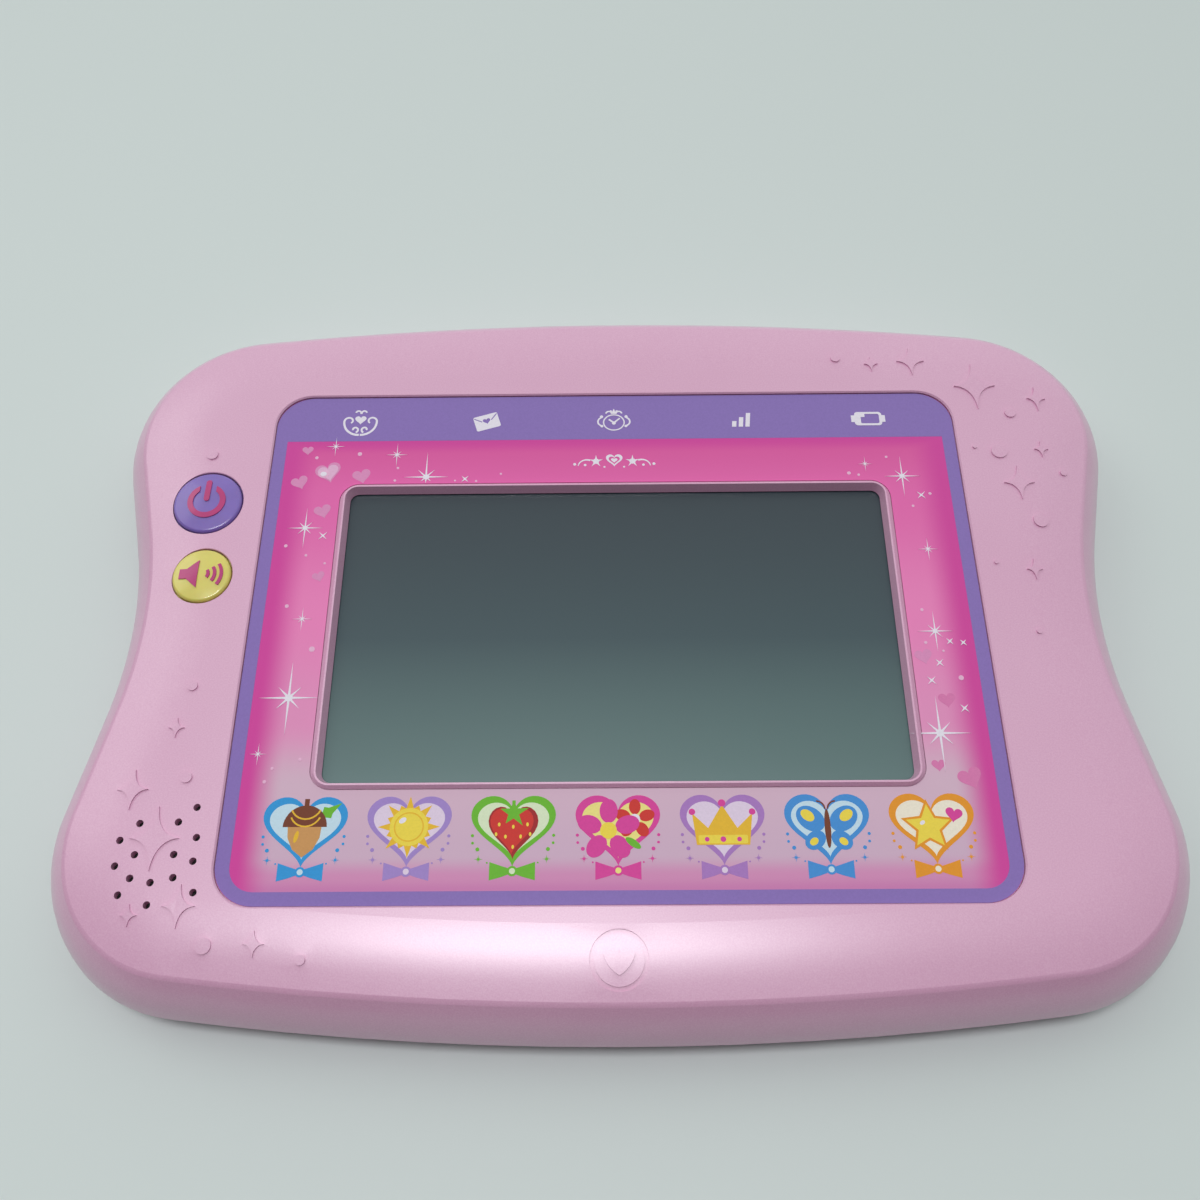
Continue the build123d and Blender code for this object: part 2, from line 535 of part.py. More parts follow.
def lcd_bracket():
    """Frame that clamps the display to the posts of the front case."""
    plate = rounded(LCD_WIDTH + 3, LCD_DEPTH + 3, 2.0, SCREEN_Y, BRACKET_Z, LCD_Z)
    for x, y in BRACKET_POSTS:
        inner_x = x - 10 if x > 0 else x + 10
        plate += block(min(x, inner_x), max(x, inner_x), y - 4, y + 4, BRACKET_Z, LCD_Z)
        plate += post((x, y), 8.0, BRACKET_Z, LCD_Z)
    plate -= rounded(LCD_WIDTH - 2 * BRACKET_RIM, LCD_DEPTH - 2 * BRACKET_RIM, 3.0, SCREEN_Y,
                     BRACKET_Z, LCD_Z)
    for at in BRACKET_POSTS:
        plate -= post(at, SMALL_SCREW + 2 * BORE_GAP, BRACKET_Z, LCD_Z)
    return plate


# ---- buttons ---------------------------------------------------------------------------------
def crown_ball(at, diameter, lift):
    """The ball whose top is a cap's domed crown."""
    radius = (diameter ** 2 / 4 + CROWN_SAG ** 2) / (2 * CROWN_SAG)
    return Pos(at[0], at[1], PLATEAU_Z + BUTTON_PROUD + lift - radius) * Sphere(radius)


def power_mark():
    """Open ring with a bar through its gap."""
    ring = Circle(5.5) - Circle(3.9) - Pos(0, 5) * Rectangle(4.8, 6)
    return ring + Pos(0, 3.4) * SlotOverall(7.2, 1.6, rotation=90)


def sound_mark():
    """A small horn and three sound waves."""
    horn = make_face(Polyline((-6.0, -1.5), (-3.9, -1.5), (-0.7, -4.3), (-0.7, 4.3), (-3.9, 1.5),
                              (-6.0, 1.5), close=True))
    waves = [ring & Pos(4, 0) * Polygon((-4, 0), (6, 7), (6, -7), align=None)
             for ring in (Circle(r) - Circle(r - 0.9) for r in (2.4, 4.2, 6.0))]
    return horn + [Pos(0.3, 0) * wave for wave in waves]


INLAY_DEPTH = 0.8


def button(at, diameter, mark):
    """A cap with its stop flange and the coloured symbol let into its crown."""
    top = PLATEAU_Z + BUTTON_PROUD
    cap = post(at, diameter, FLANGE_Z, top) & crown_ball(at, diameter, 0)
    rim = cap.faces().sort_by(Axis.Z)[-1].edges()
    cap = fillet(rim, 1.0)
    cap += post(at, diameter + 2 * FLANGE_LAP, FLANGE_Z, FLANGE_TOP)
    stamp = Pos(at[0], at[1], top - INLAY_DEPTH - CROWN_SAG / 2) * extrude(mark, 3)
    symbol = stamp & crown_ball(at, diameter, SYMBOL_RISE)
    return cap - stamp, symbol


def rubber_dome(at):
    """Hollow silicone dome that springs a button back."""
    z = BUTTON_BOARD_TOP
    skirt = post(at, DOME_DIAMETER, z, z + 0.6)
    body = Pos(at[0], at[1], z + 0.6 + (DOME_HEIGHT - 0.6) / 2) * Cone(
        DOME_DIAMETER / 2 - 0.8, 2.4, DOME_HEIGHT - 0.6)
    hollow = Pos(at[0], at[1], z + (DOME_HEIGHT - 1.2) / 2) * Cone(
        DOME_DIAMETER / 2 - 1.6, 1.7, DOME_HEIGHT - 1.2)
    return skirt + body - hollow


BUTTON_BOARD_X = (-129.0, -107.0)


def button_board():
    """Small board under the two buttons, hung from the face."""
    y0, y1 = BUTTON_POSTS[1][1] - 4, BUTTON_POSTS[0][1] + 4
    board = block(*BUTTON_BOARD_X, y0, y1, BUTTON_BOARD_Z, BUTTON_BOARD_TOP)
    for at in BUTTON_POSTS:
        board -= post(at, SMALL_SCREW + 2 * BORE_GAP, BUTTON_BOARD_Z, BUTTON_BOARD_TOP)
    return board


# ---- speaker ---------------------------------------------------------------------------------
RIM_TOP = SEAT_Z - GASKET_THICKNESS
RIM_Z = RIM_TOP - 1.0
MAGNET_DIAMETER = 20.0
MAGNET_HEIGHT = 3.2
BASKET_Z = RIM_TOP - (SPEAKER_DEPTH - MAGNET_HEIGHT)
CONE_OPENING = SPEAKER_DIAMETER - 2 * SPEAKER_RIM


def cone_at(low_radius, high_radius, z0, z1):
    """A cone under the sound holes."""
    return Pos(*SPEAKER_AT, (z0 + z1) / 2) * Cone(low_radius, high_radius, z1 - z0)


def speaker_frame():
    """Pressed basket with its rim and solder tag."""
    outer_r = CONE_OPENING / 2
    basket = post(SPEAKER_AT, SPEAKER_DIAMETER, RIM_Z, RIM_TOP)
    basket += cone_at(MAGNET_DIAMETER / 2, outer_r + 0.6, BASKET_Z, RIM_Z)
    basket -= post(SPEAKER_AT, CONE_OPENING, RIM_Z, RIM_TOP)
    basket -= cone_at(MAGNET_DIAMETER / 2 - 0.8, outer_r, BASKET_Z + 0.8, RIM_Z)
    tag_x = SPEAKER_AT[0] + MAGNET_DIAMETER / 2
    return basket + block(tag_x - 0.5, tag_x + 5, SPEAKER_AT[1] - 3, SPEAKER_AT[1] + 3,
                          BASKET_Z, BASKET_Z + 0.8)


def speaker_cone():
    """Paper cone with its dust cap, glued to the rim."""
    outer_r = CONE_OPENING / 2 - 0.1
    z0, z1 = BASKET_Z + 1.2, RIM_TOP - 0.3
    cone = cone_at(5.0, outer_r, z0, z1) - cone_at(4.4, outer_r - 0.6, z0 + 0.3, z1)
    return cone + post(SPEAKER_AT, 10.0, z0, z0 + 0.6)


def speaker_clamp():
    """Ring with three ears that presses the speaker to its seat."""
    z0 = RIM_Z - 1.2
    ring = post(SPEAKER_AT, SPEAKER_DIAMETER + 5.2, z0, RIM_Z)
    for at in CLAMP_POSTS:
        ring += post(at, 6.2, z0, RIM_Z)
    ring -= post(SPEAKER_AT, CONE_OPENING + 2, z0, RIM_Z)
    for at in CLAMP_POSTS:
        ring -= post(at, SMALL_SCREW + 2 * BORE_GAP, z0, RIM_Z)
    return ring


# ---- battery bay -----------------------------------------------------------------------------
POCKETS = [(x, y) for x in (-1, 1) for y in (-1, 1)]
ROW_OFFSET = CELL_DIAMETER / 2 + CELL_GAP + BAY_WALL / 2
SPRING_WIRE = 0.9
SPRING_TURNS = 4


def lie_along(x0, x1, y, z, diameter):
    """A round bar along X."""
    bar = Cylinder(diameter / 2, abs(x1 - x0), rotation=(0, 90, 0))
    return Pos((x0 + x1) / 2, y, z) * bar


def battery_cell(side, row):
    """One AA cell with its button end."""
    y = BAY_Y + row * ROW_OFFSET
    start = BAY_WALL / 2 + PLATE_THICKNESS + (0 if row > 0 else SPRING_SPACE)
    nub = 1.4
    if row > 0:
        can = lie_along(side * (start + nub), side * (start + CELL_LENGTH), y, CELL_Z, CELL_DIAMETER)
        return can + lie_along(side * start, side * (start + nub + 1), y, CELL_Z, 5.5)
    end = start + CELL_LENGTH
    can = lie_along(side * start, side * (end - nub), y, CELL_Z, CELL_DIAMETER)
    return can + lie_along(side * (end - nub - 1), side * end, y, CELL_Z, 5.5)


def battery_spring(side, row):
    """Coil spring that presses a cell against its far contact."""
    y = BAY_Y + row * ROW_OFFSET
    x0 = BAY_WALL / 2 + PLATE_THICKNESS + (CELL_LENGTH if row > 0 else 0)
    path = Helix(pitch=(SPRING_SPACE - SPRING_WIRE - 0.1) / SPRING_TURNS,
                 height=SPRING_SPACE - SPRING_WIRE - 0.1, radius=3.4)
    profile = Plane(origin=path @ 0, z_dir=path % 0) * Circle(SPRING_WIRE / 2)
    coil = sweep(profile, path=path, is_frenet=True)
    start = side * (x0 + SPRING_WIRE / 2 + 0.05)
    return Pos(start, y, CELL_Z) * Rot(0, 90 * side, 0) * coil


def battery_plates():
    """Contact plates at both ends of the four pockets."""
    plates = []
    for side, row in POCKETS:
        y = BAY_Y + row * ROW_OFFSET
        for x0 in (BAY_WALL / 2, BAY_HALF_X - PLATE_THICKNESS):
            low, high = sorted((side * x0, side * (x0 + PLATE_THICKNESS)))
            plates.append(block(low, high, y - 5.5, y + 5.5, CELL_Z - 4.5, CELL_Z + 5.5))
    return plates


def battery_door():
    """Door with two hook tabs on its near edge and a screw ear on its far edge."""
    x = BAY_HALF_X - DOOR_GAP
    y0, y1 = DOOR_EDGE_Y + DOOR_GAP, BAY_Y + BAY_HALF_Y - DOOR_GAP
    door = block(-x, x, y0, y1, REAR_Z, FLOOR_Z)
    door += Pos(0, 0, REAR_Z) * extrude(ear(DOOR_EAR_RADIUS), WALL)
    for tab_x in DOOR_TABS:
        half = DOOR_TAB_WIDTH / 2
        door += block(tab_x - half, tab_x + half, y0, y0 + 1.4, FLOOR_Z - 0.5, DOOR_TAB_Z + 0.1)
        door += block(tab_x - half, tab_x + half, DOOR_EDGE_Y - DOOR_TAB_REACH, y0 + 1.4,
                      DOOR_TAB_Z, DOOR_TAB_Z + DOOR_TAB_THICKNESS)
    for i in range(DOOR_RIBS):
        rib_y = y1 - 4 - i * DOOR_RIB_PITCH
        door += block(-DOOR_RIB_LENGTH / 2, DOOR_RIB_LENGTH / 2, rib_y - 0.5, rib_y + 0.5,
                      REAR_Z - DOOR_RIB_RISE, REAR_Z + 0.2)
    door -= post(EAR_AT, SMALL_HEAD + 0.4, REAR_Z, REAR_Z + SMALL_HEAD_HEIGHT)
    return door - post(EAR_AT, SMALL_SCREW + 2 * BORE_GAP, REAR_Z, FLOOR_Z)


# ---- main board ------------------------------------------------------------------------------
def on_board(x, y, width, depth, height):
    """A part that lies on the main board."""
    return block(x - width / 2, x + width / 2, y - depth / 2, y + depth / 2, BOARD_TOP, BOARD_TOP + height)


BATTERY_PLUG = (-38.0, -10.5)
SPEAKER_PLUG = (-51.0, -58.0)
BUTTON_PLUG = (-51.0, -36.0)
FLEX_AT = (0.0, -40.0)
FLEX_WIDTH = 26.0
FLEX_THICKNESS = 0.3


def main_board():
    """Board below the display, on four posts of the rear case."""
    board = block(-BOARD_WIDTH / 2, BOARD_WIDTH / 2, BOARD_Y - BOARD_DEPTH / 2, BOARD_Y + BOARD_DEPTH / 2,
                  BOARD_Z, BOARD_TOP)
    for at in BOARD_POSTS:
        board -= post(at, SMALL_SCREW + 2 * BORE_GAP, BOARD_Z, BOARD_TOP)
    return board


def board_connectors():
    """Sockets for the wires, the membrane tail and the display's flex."""
    return [
        on_board(*TAIL_AT, TAIL_WIDTH + 4, 4, CONNECTOR_HEIGHT),
        on_board(*FLEX_AT, FLEX_WIDTH + 4, 4, CONNECTOR_HEIGHT),
        on_board(*BATTERY_PLUG, 7.5, 5, CONNECTOR_HEIGHT),
        on_board(*SPEAKER_PLUG, 5, 7.5, CONNECTOR_HEIGHT),
        on_board(*BUTTON_PLUG, 5, 10, CONNECTOR_HEIGHT),
    ]


def board_chips():
    """Processor, memory and sound amplifier."""
    return [on_board(0, -24, 20, 20, 1.6), on_board(28, -30, 12, 18, 1.2), on_board(-26, -52, 8, 10, 1.5)]


def board_capacitors():
    """Round capacitors by the battery socket and the amplifier."""
    places = ((-24, -12), (-17, -12), (-38, -52), (46, -26))
    return [post(at, 5.0, BOARD_TOP, BOARD_TOP + 4.4) for at in places]


def lcd_flex():
    """Ribbon from the display down to its socket."""
    x, y = FLEX_AT
    return block(x - FLEX_WIDTH / 2, x + FLEX_WIDTH / 2, y - FLEX_THICKNESS / 2, y + FLEX_THICKNESS / 2,
                 BOARD_TOP + CONNECTOR_HEIGHT, LCD_Z)


# ---- wires -----------------------------------------------------------------------------------
WIRE_Z = BOARD_TOP + CONNECTOR_HEIGHT / 2


def wire(*points):
    """A round lead of straight runs joined by arcs as large as the runs allow."""
    route = [Vector(*p) for p in points]
    radii = []
    for before, corner, after in zip(route, route[1:], route[2:]):
        turn = radians((corner - before).get_angle(after - corner))
        shorter = min((corner - before).length, (after - corner).length)
        radii.append(0.45 * shorter / tan(turn / 2))
    path = FilletPolyline(*route, radius=radii)
    profile = Plane(origin=path @ 0, z_dir=path % 0) * Circle(WIRE_DIAMETER / 2)
    return sweep(profile, path=path)


def battery_wires():
    """Two leads from the battery bay to the board."""
    start_y = BAY_Y - BAY_HALF_Y - BAY_WALL
    end_y = BATTERY_PLUG[1] + 2.5
    return [wire((BATTERY_PLUG[0] + side, start_y, WIRE_Z), (BATTERY_PLUG[0] + side, 38, WIRE_Z),
                 (BATTERY_PLUG[0] - 4 + side, 18, WIRE_Z - 3), (BATTERY_PLUG[0] + side, 4, WIRE_Z),
                 (BATTERY_PLUG[0] + side, end_y, WIRE_Z)) for side in (-1.2, 1.2)]


def speaker_wires():
    """Two leads from the speaker's tag to the board."""
    x0 = SPEAKER_AT[0] + MAGNET_DIAMETER / 2 + 5
    x1 = SPEAKER_PLUG[0] - 2.5
    z0 = BASKET_Z + 0.7
    return [wire((x0, SPEAKER_AT[1] + side, z0), (x0 + 10, SPEAKER_AT[1] + side, z0),
                 (x0 + 24, SPEAKER_AT[1] + 3 + side, WIRE_Z + 1), (x1 - 9, SPEAKER_PLUG[1] + side, WIRE_Z),
                 (x1, SPEAKER_PLUG[1] + side, WIRE_Z)) for side in (-1.2, 1.2)]


def button_wires():
    """Three leads from the button board to the main board."""
    x0, x1 = BUTTON_BOARD_X[1], BUTTON_PLUG[0] - 2.5
    z0 = (BUTTON_BOARD_Z + BUTTON_BOARD_TOP) / 2
    return [wire((x0, 22 + side, z0), (x0 + 9, 22 + side, z0), (x0 + 22, 12 + side, WIRE_Z + 1),
                 (x1 - 14, BUTTON_PLUG[1] + 12 + side, WIRE_Z - 1), (x1 - 6, BUTTON_PLUG[1] + side, WIRE_Z),
                 (x1, BUTTON_PLUG[1] + side, WIRE_Z)) for side in (-2.4, 0, 2.4)]


# ---- fasteners -------------------------------------------------------------------------------
def screw(at, z, length, diameter, head, head_height, up=1):
    """A pan-head screw; z is under its head, and it points up or down from there."""
    shank = post(at, diameter, min(z, z + up * length), max(z, z + up * length))
    top = post(at, head, min(z, z - up * head_height), max(z, z - up * head_height))
    slot_z = z - up * head_height
    depth = head_height / 2
    slot = block(at[0] - head / 3, at[0] + head / 3, at[1] - 0.35, at[1] + 0.35,
                 min(slot_z, slot_z + up * depth), max(slot_z, slot_z + up * depth))
    cross = block(at[0] - 0.35, at[0] + 0.35, at[1] - head / 3, at[1] + head / 3,
                  min(slot_z, slot_z + up * depth), max(slot_z, slot_z + up * depth))
    return top + shank - slot - cross


def small_screw(at, z, length, up=1):
    """The small size of the same screw."""
    return screw(at, z, length, SMALL_SCREW, SMALL_HEAD, SMALL_HEAD_HEIGHT, up)


# ---- write every node ------------------------------------------------------------------------
save("front_case", front_case())
save("rear_case", rear_case())
save("graphic_overlay", graphic_overlay())
save("membrane_keys", membrane_keys())
save("touch_panel", touch_panel())
save("lcd_gasket", lcd_gasket())
save("lcd_panel", lcd_panel())
save("lcd_frame", lcd_frame())
save("lcd_bracket", lcd_bracket())
save("lcd_flex", lcd_flex())

power_button, power_symbol = button(POWER_AT, POWER_DIAMETER, power_mark())
sound_button, sound_symbol = button(SOUND_AT, SOUND_DIAMETER, sound_mark())
save("power_button", power_button)
save("power_symbol", *power_symbol.solids())
save("sound_button", sound_button)
save("sound_symbol", *sound_symbol.solids())
save("power_dome", rubber_dome(POWER_AT))
save("sound_dome", rubber_dome(SOUND_AT))
save("button_board", button_board())
save("button_board_screws", *(small_screw(at, BUTTON_BOARD_Z, 5.5) for at in BUTTON_POSTS))

save("speaker_gasket", post(SPEAKER_AT, SPEAKER_DIAMETER, RIM_TOP, SEAT_Z)
     - post(SPEAKER_AT, CONE_OPENING, RIM_TOP, SEAT_Z))
save("speaker_mesh", post(SPEAKER_AT, CONE_OPENING + 2, CREASE_Z - 0.3, CREASE_Z))
save("speaker_frame", speaker_frame())
save("speaker_cone", speaker_cone())
save("speaker_magnet", post(SPEAKER_AT, MAGNET_DIAMETER, BASKET_Z - MAGNET_HEIGHT, BASKET_Z))
save("speaker_clamp", speaker_clamp())
save("speaker_screws", *(small_screw(at, RIM_Z - 1.2, 3.6) for at in CLAMP_POSTS))

save("battery_cells", *(battery_cell(side, row) for side, row in POCKETS))
save("battery_springs", *(battery_spring(side, row) for side, row in POCKETS))
save("battery_plates", *battery_plates())
save("battery_door", battery_door())
save("door_screw", small_screw(EAR_AT, REAR_Z + SMALL_HEAD_HEIGHT, 5.4))

save("main_board", main_board())
save("board_connectors", *board_connectors())
save("board_chips", *board_chips())
save("board_capacitors", *board_capacitors())
save("board_crystal", on_board(20, -50, 10.5, 4, 3))
save("board_screws", *(small_screw(at, BOARD_TOP, 6.0, -1) for at in BOARD_POSTS))
save("battery_wires", *battery_wires())
save("speaker_wires", *speaker_wires())
save("button_wires", *button_wires())

save("case_screws", *(screw(at, SCREW_SEAT_Z, SCREW_LENGTH, SCREW_DIAMETER, SCREW_HEAD, SCREW_HEAD_HEIGHT)
                      for at in ALL_CASE_SCREWS))
save("bracket_screws", *(small_screw(at, BRACKET_Z, 6.0) for at in BRACKET_POSTS))
save("rubber_feet", *(post(at, FOOT_DIAMETER, 0, REAR_Z + FOOT_POCKET) for at in FEET))
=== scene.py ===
import json
from math import cos, pi, radians, sin

import bmesh
import bpy
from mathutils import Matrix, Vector
from mathutils.geometry import tessellate_polygon


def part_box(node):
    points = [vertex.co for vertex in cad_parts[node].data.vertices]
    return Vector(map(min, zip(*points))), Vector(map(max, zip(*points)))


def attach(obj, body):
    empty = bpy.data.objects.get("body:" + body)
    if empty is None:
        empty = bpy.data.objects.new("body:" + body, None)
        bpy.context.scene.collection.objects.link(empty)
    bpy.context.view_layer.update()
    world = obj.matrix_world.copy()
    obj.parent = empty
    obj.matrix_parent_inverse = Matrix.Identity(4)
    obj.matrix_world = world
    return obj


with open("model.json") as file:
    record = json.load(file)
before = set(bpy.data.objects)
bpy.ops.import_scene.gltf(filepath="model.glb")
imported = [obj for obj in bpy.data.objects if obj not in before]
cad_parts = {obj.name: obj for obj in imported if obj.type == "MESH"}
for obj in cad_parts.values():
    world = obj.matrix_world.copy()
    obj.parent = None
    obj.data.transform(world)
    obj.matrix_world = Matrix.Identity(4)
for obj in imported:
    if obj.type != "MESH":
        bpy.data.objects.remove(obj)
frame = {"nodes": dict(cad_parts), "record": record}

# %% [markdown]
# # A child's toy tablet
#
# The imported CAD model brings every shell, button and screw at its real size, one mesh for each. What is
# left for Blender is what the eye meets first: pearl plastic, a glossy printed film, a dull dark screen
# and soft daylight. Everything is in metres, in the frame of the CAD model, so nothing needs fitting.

MM = 0.001
scene = bpy.context.scene
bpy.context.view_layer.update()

# %% [markdown]
# ## Camera
#
# Someone stands over the table and looks down at the toy from near its bottom edge. The lens is a little
# wider than the eye's, so the near edge looks broader than the far one. The place is given in
# millimetres from the middle of the tablet's underside.

# %% Camera
EYE = (-1.84, -134.55, 315.3)       # in mm
TILT = (25.86, 0.587, -0.179)       # in degrees
LENS = 34.5                         # focal length in mm, on a sensor as wide as a 35 mm film frame
SENSOR = 36
camera = bpy.data.objects.new("camera", bpy.data.cameras.new("camera"))
camera.location = [value * MM for value in EYE]
camera.rotation_euler = [radians(angle) for angle in TILT]
camera.data.lens = LENS
camera.data.sensor_width = SENSOR
scene.collection.objects.link(camera)
scene.camera = camera
scene.view_settings.view_transform = "Standard"
print("camera", round(camera.location.length / MM), "mm from the middle of the underside")

# %% [markdown]
# ## Two helpers for materials
#
# Colours are given as sRGB hex, but shaders count light, so one function turns hex to linear.
# The other adds a node, sets its options and sockets, and links what feeds it. With these two, each
# material reads from top to bottom like a recipe. Every pattern is laid out in the object's own metres, so
# its scale comes from a real size. Where that size is too fine to show, it is drawn coarser, and the
# recipe says so.

# %% Material helpers
def linear(hex_colour):
    """sRGB hex to the linear colour that a shader socket takes."""
    parts = [int(hex_colour[i:i + 2], 16) / 255 for i in (1, 3, 5)]
    return [p / 12.92 if p <= 0.04045 else ((p + 0.055) / 1.055) ** 2.4 for p in parts] + [1]


def add(tree, kind, settings={}, links={}):
    """Adds a node. Settings name its options or sockets, links name the sockets that other nodes feed."""
    node = tree.nodes.new("ShaderNode" + kind)
    for key, value in settings.items():
        if isinstance(key, str) and hasattr(node, key):
            setattr(node, key, value)
        else:
            node.inputs[key].default_value = value
    for key, source in links.items():
        tree.links.new(getattr(source, "outputs", [source])[0], node.inputs[key])
    return node


def new_material(name):
    """An empty material and its node tree."""
    material = bpy.data.materials.new(name)
    material.use_nodes = True
    material.node_tree.nodes.clear()
    return material, material.node_tree


def grain(size):
    """The texture scale that makes a pattern this many millimetres across."""
    return 1 / (size * MM)


# %% [markdown]
# ## Table and light
#
# The table is white melamine board: a printed paper under hard clear resin, so it is a dull white with a
# weak broad shine. Most of the light comes from the room itself, as it does by a large window: it is
# brightest beyond the far side, some thirty degrees up, and fades smoothly to dark behind the viewer. One
# strong lamp would do the same work, but the glossy film and the rounded case would mirror its edge. A
# wide lamp at the far left adds light from that side. A smaller one nearly overhead gives the broad glow
# on the near edge of the case: it hangs where the case mirrors it towards the eye but the flat film does
# not, so the print stays clear.

# %% Table
PIT = 0.7                   # mm; the press plate's real grain is finer and would not show


def melamine_board():
    """White melamine: fine dull pits break up the shine, and nothing else shows."""
    material, tree = new_material("melamine_board")
    place = add(tree, "TexCoord").outputs["Object"]
    pits = add(tree, "TexNoise", {"Scale": grain(PIT), "Detail": 2.0}, {"Vector": place})
    bump = add(tree, "Bump", {"Strength": 0.04, "Distance": 0.02 * MM}, {"Height": pits})
    shader = add(tree, "BsdfPrincipled", {"Base Color": linear("#D5DDDA"), "Roughness": 0.6, "IOR": 1.5},
                 {"Normal": bump})
    add(tree, "OutputMaterial", {}, {"Surface": shader})
    return material


TABLE_SIZE = 6.0            # in metres, so that its edges are far out of the camera's view
table_mesh = bpy.data.meshes.new("table")
half = TABLE_SIZE / 2
table_mesh.from_pydata([(-half, -half, 0), (half, -half, 0), (half, half, 0), (-half, half, 0)], [],
                       [(0, 1, 2, 3)])
table_mesh.materials.append(melamine_board())
table = bpy.data.objects.new("table", table_mesh)
scene.collection.objects.link(table)
print("table:", TABLE_SIZE, "m square")

# %% Light
ROOM_WHITE = "#E6EFEC"      # daylight off pale walls
DARK_FROM = -0.3            # cosine of the angle from the brightest direction where the fading ends


def soft_lamp(name, place, aim, width, depth, watts, colour):
    """An oval lamp that faces a point; places and sizes in metres."""
    lamp = bpy.data.lights.new(name, "AREA")
    lamp.shape = "ELLIPSE"
    lamp.size, lamp.size_y = width, depth
    lamp.energy = watts
    lamp.color = linear(colour)[:3]
    holder = bpy.data.objects.new(name, lamp)
    holder.location = place
    holder.rotation_euler = (Vector(aim) - Vector(place)).to_track_quat("-Z", "Y").to_euler()
    scene.collection.objects.link(holder)


def soft_room(towards, darkest, brightest):
    """A room that is brightest in one direction and fades smoothly to dark away from it."""
    world = bpy.data.worlds.new("room")
    world.use_nodes = True
    tree = world.node_tree
    tree.nodes.clear()
    way = add(tree, "TexCoord").outputs["Generated"]
    share = add(tree, "VectorMath", {"operation": "DOT_PRODUCT", 1: Vector(towards).normalized()}, {0: way})
    strength = add(tree, "MapRange",
                   {"interpolation_type": "SMOOTHSTEP", "From Min": DARK_FROM, "From Max": 1.0,
                    "To Min": darkest, "To Max": brightest},
                   {"Value": share.outputs["Value"]})
    room = add(tree, "Background", {"Color": linear(ROOM_WHITE)}, {"Strength": strength})
    add(tree, "OutputWorld", {}, {"Surface": room})
    return world


soft_lamp("wide_lamp", place=(-1.6, 1.0, 1.6), aim=(0, 0, 0), width=1.6, depth=1.2, watts=6.0,
          colour="#FFFFFF")
soft_lamp("glow_lamp", place=(-0.14, -0.06, 1.7), aim=(-0.14, -0.03, 0), width=0.85, depth=0.4, watts=12,
          colour="#FCFAFF")
scene.world = soft_room(towards=(0.12, 0.85, 0.5), darkest=0.01, brightest=0.9)
print("lamps:", [lamp.name for lamp in bpy.data.lights], "and a room that is bright behind the far side")

# %% [markdown]
# ## Pearl pink case
#
# The shells are moulded ABS with a mica pigment. Mica is tiny flat flakes that lie nearly level in the
# plastic, so the case has a satin glow that breaks into fine specks where a lamp is mirrored. Real flakes
# are about 0.05 mm, far too fine to show, so they are drawn as clumps of 0.4 mm. The moulding tool was
# polished to a satin, which gives the broad highlight. One noise makes both the paler specks and their
# small tilts, so that a speck that is paler also catches the lamp.

# %% Pearl ABS
SPECK = 0.4                 # mm across a clump of mica flakes
FLOW = 60                   # mm across the cloudy drifts that the melt leaves as it fills the mould
PEARL = [(0.35, "#E0A9C8"), (0.7, "#E8B8D2")]       # share of the noise, and the colour there


def pearl_abs():
    """ABS with mica: the specks tilt the surface a little and are a touch paler than the pink."""
    material, tree = new_material("pearl_pink_abs")
    place = add(tree, "TexCoord").outputs["Object"]
    specks = add(tree, "TexNoise", {"Scale": grain(SPECK), "Detail": 1.5, "Roughness": 0.7},
                 {"Vector": place})
    drift = add(tree, "TexNoise", {"Scale": grain(FLOW), "Detail": 2.0}, {"Vector": place})
    colour = add(tree, "ValToRGB", {}, {"Fac": specks})
    for stop, (share, pink) in zip(colour.color_ramp.elements, PEARL):
        stop.position, stop.color = share, linear(pink)
    cloudy = add(tree, "MixRGB", {"blend_type": "MULTIPLY", "Color2": linear("#F6ECF2")},
                 {"Fac": drift, "Color1": colour})
    bump = add(tree, "Bump", {"Strength": 0.45, "Distance": 0.03 * MM}, {"Height": specks})
    shader = add(tree, "BsdfPrincipled",
                 {"Roughness": 0.32, "IOR": 1.54, "Specular IOR Level": 0.85, "Coat Weight": 0.45,
                  "Coat Roughness": 0.25},
                 {"Base Color": cloudy, "Normal": bump})
    add(tree, "OutputMaterial", {}, {"Surface": shader})
    return material


# %% [markdown]
# ## Printed film
#
# The key panel is clear polycarbonate film, printed on its back and stuck into a shallow recess. Seen
# through the film, the ink is as glossy as the film itself. The pink ground is one smooth blend: deep
# magenta along the two sides and the top, lighter towards the screen, palest behind the row of keys
# and pink again at the bottom. The blend is worked out from the place on the film, so it stays smooth at
# any size. The hard-edged parts of the print come after it as thin layers of ink.

# %% The film's ground
film_low, film_high = [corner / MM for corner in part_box("graphic_overlay")]
SIDE_BAND = 3.7
BOTTOM_BAND = 3.5
TOP_BAR = 15.6
FIELD = (film_low.x + SIDE_BAND, film_low.y + BOTTOM_BAND, film_high.x - SIDE_BAND, film_high.y - TOP_BAR)
FILM_TOP = film_high.z
FILM_GLOSS = {"Roughness": 0.1, "IOR": 1.52}
EDGE_MAGENTA = "#D5409D"
EDGE_FADE = (1.5, 11.0)     # the edge's magenta is full this far in from the side and gone that far in
TOP_FADE = 2.2              # along the top it fades this many times sooner
CORNER_BLEND = 4.0          # over which the side's fade rounds into the top's
GROUND = [                  # height above the field's bottom edge, and the ground's colour there
    (0, "#CE7CB2"), (3.5, "#D68DB9"), (9, "#D3B0C7"), (27, "#D8B4C8"), (45, "#E691BF"), (75, "#EE83BC"),
    (112, "#E767AE"), (134, "#DE559F"),
]
print("field of the print in mm:", [round(value, 1) for value in FIELD])


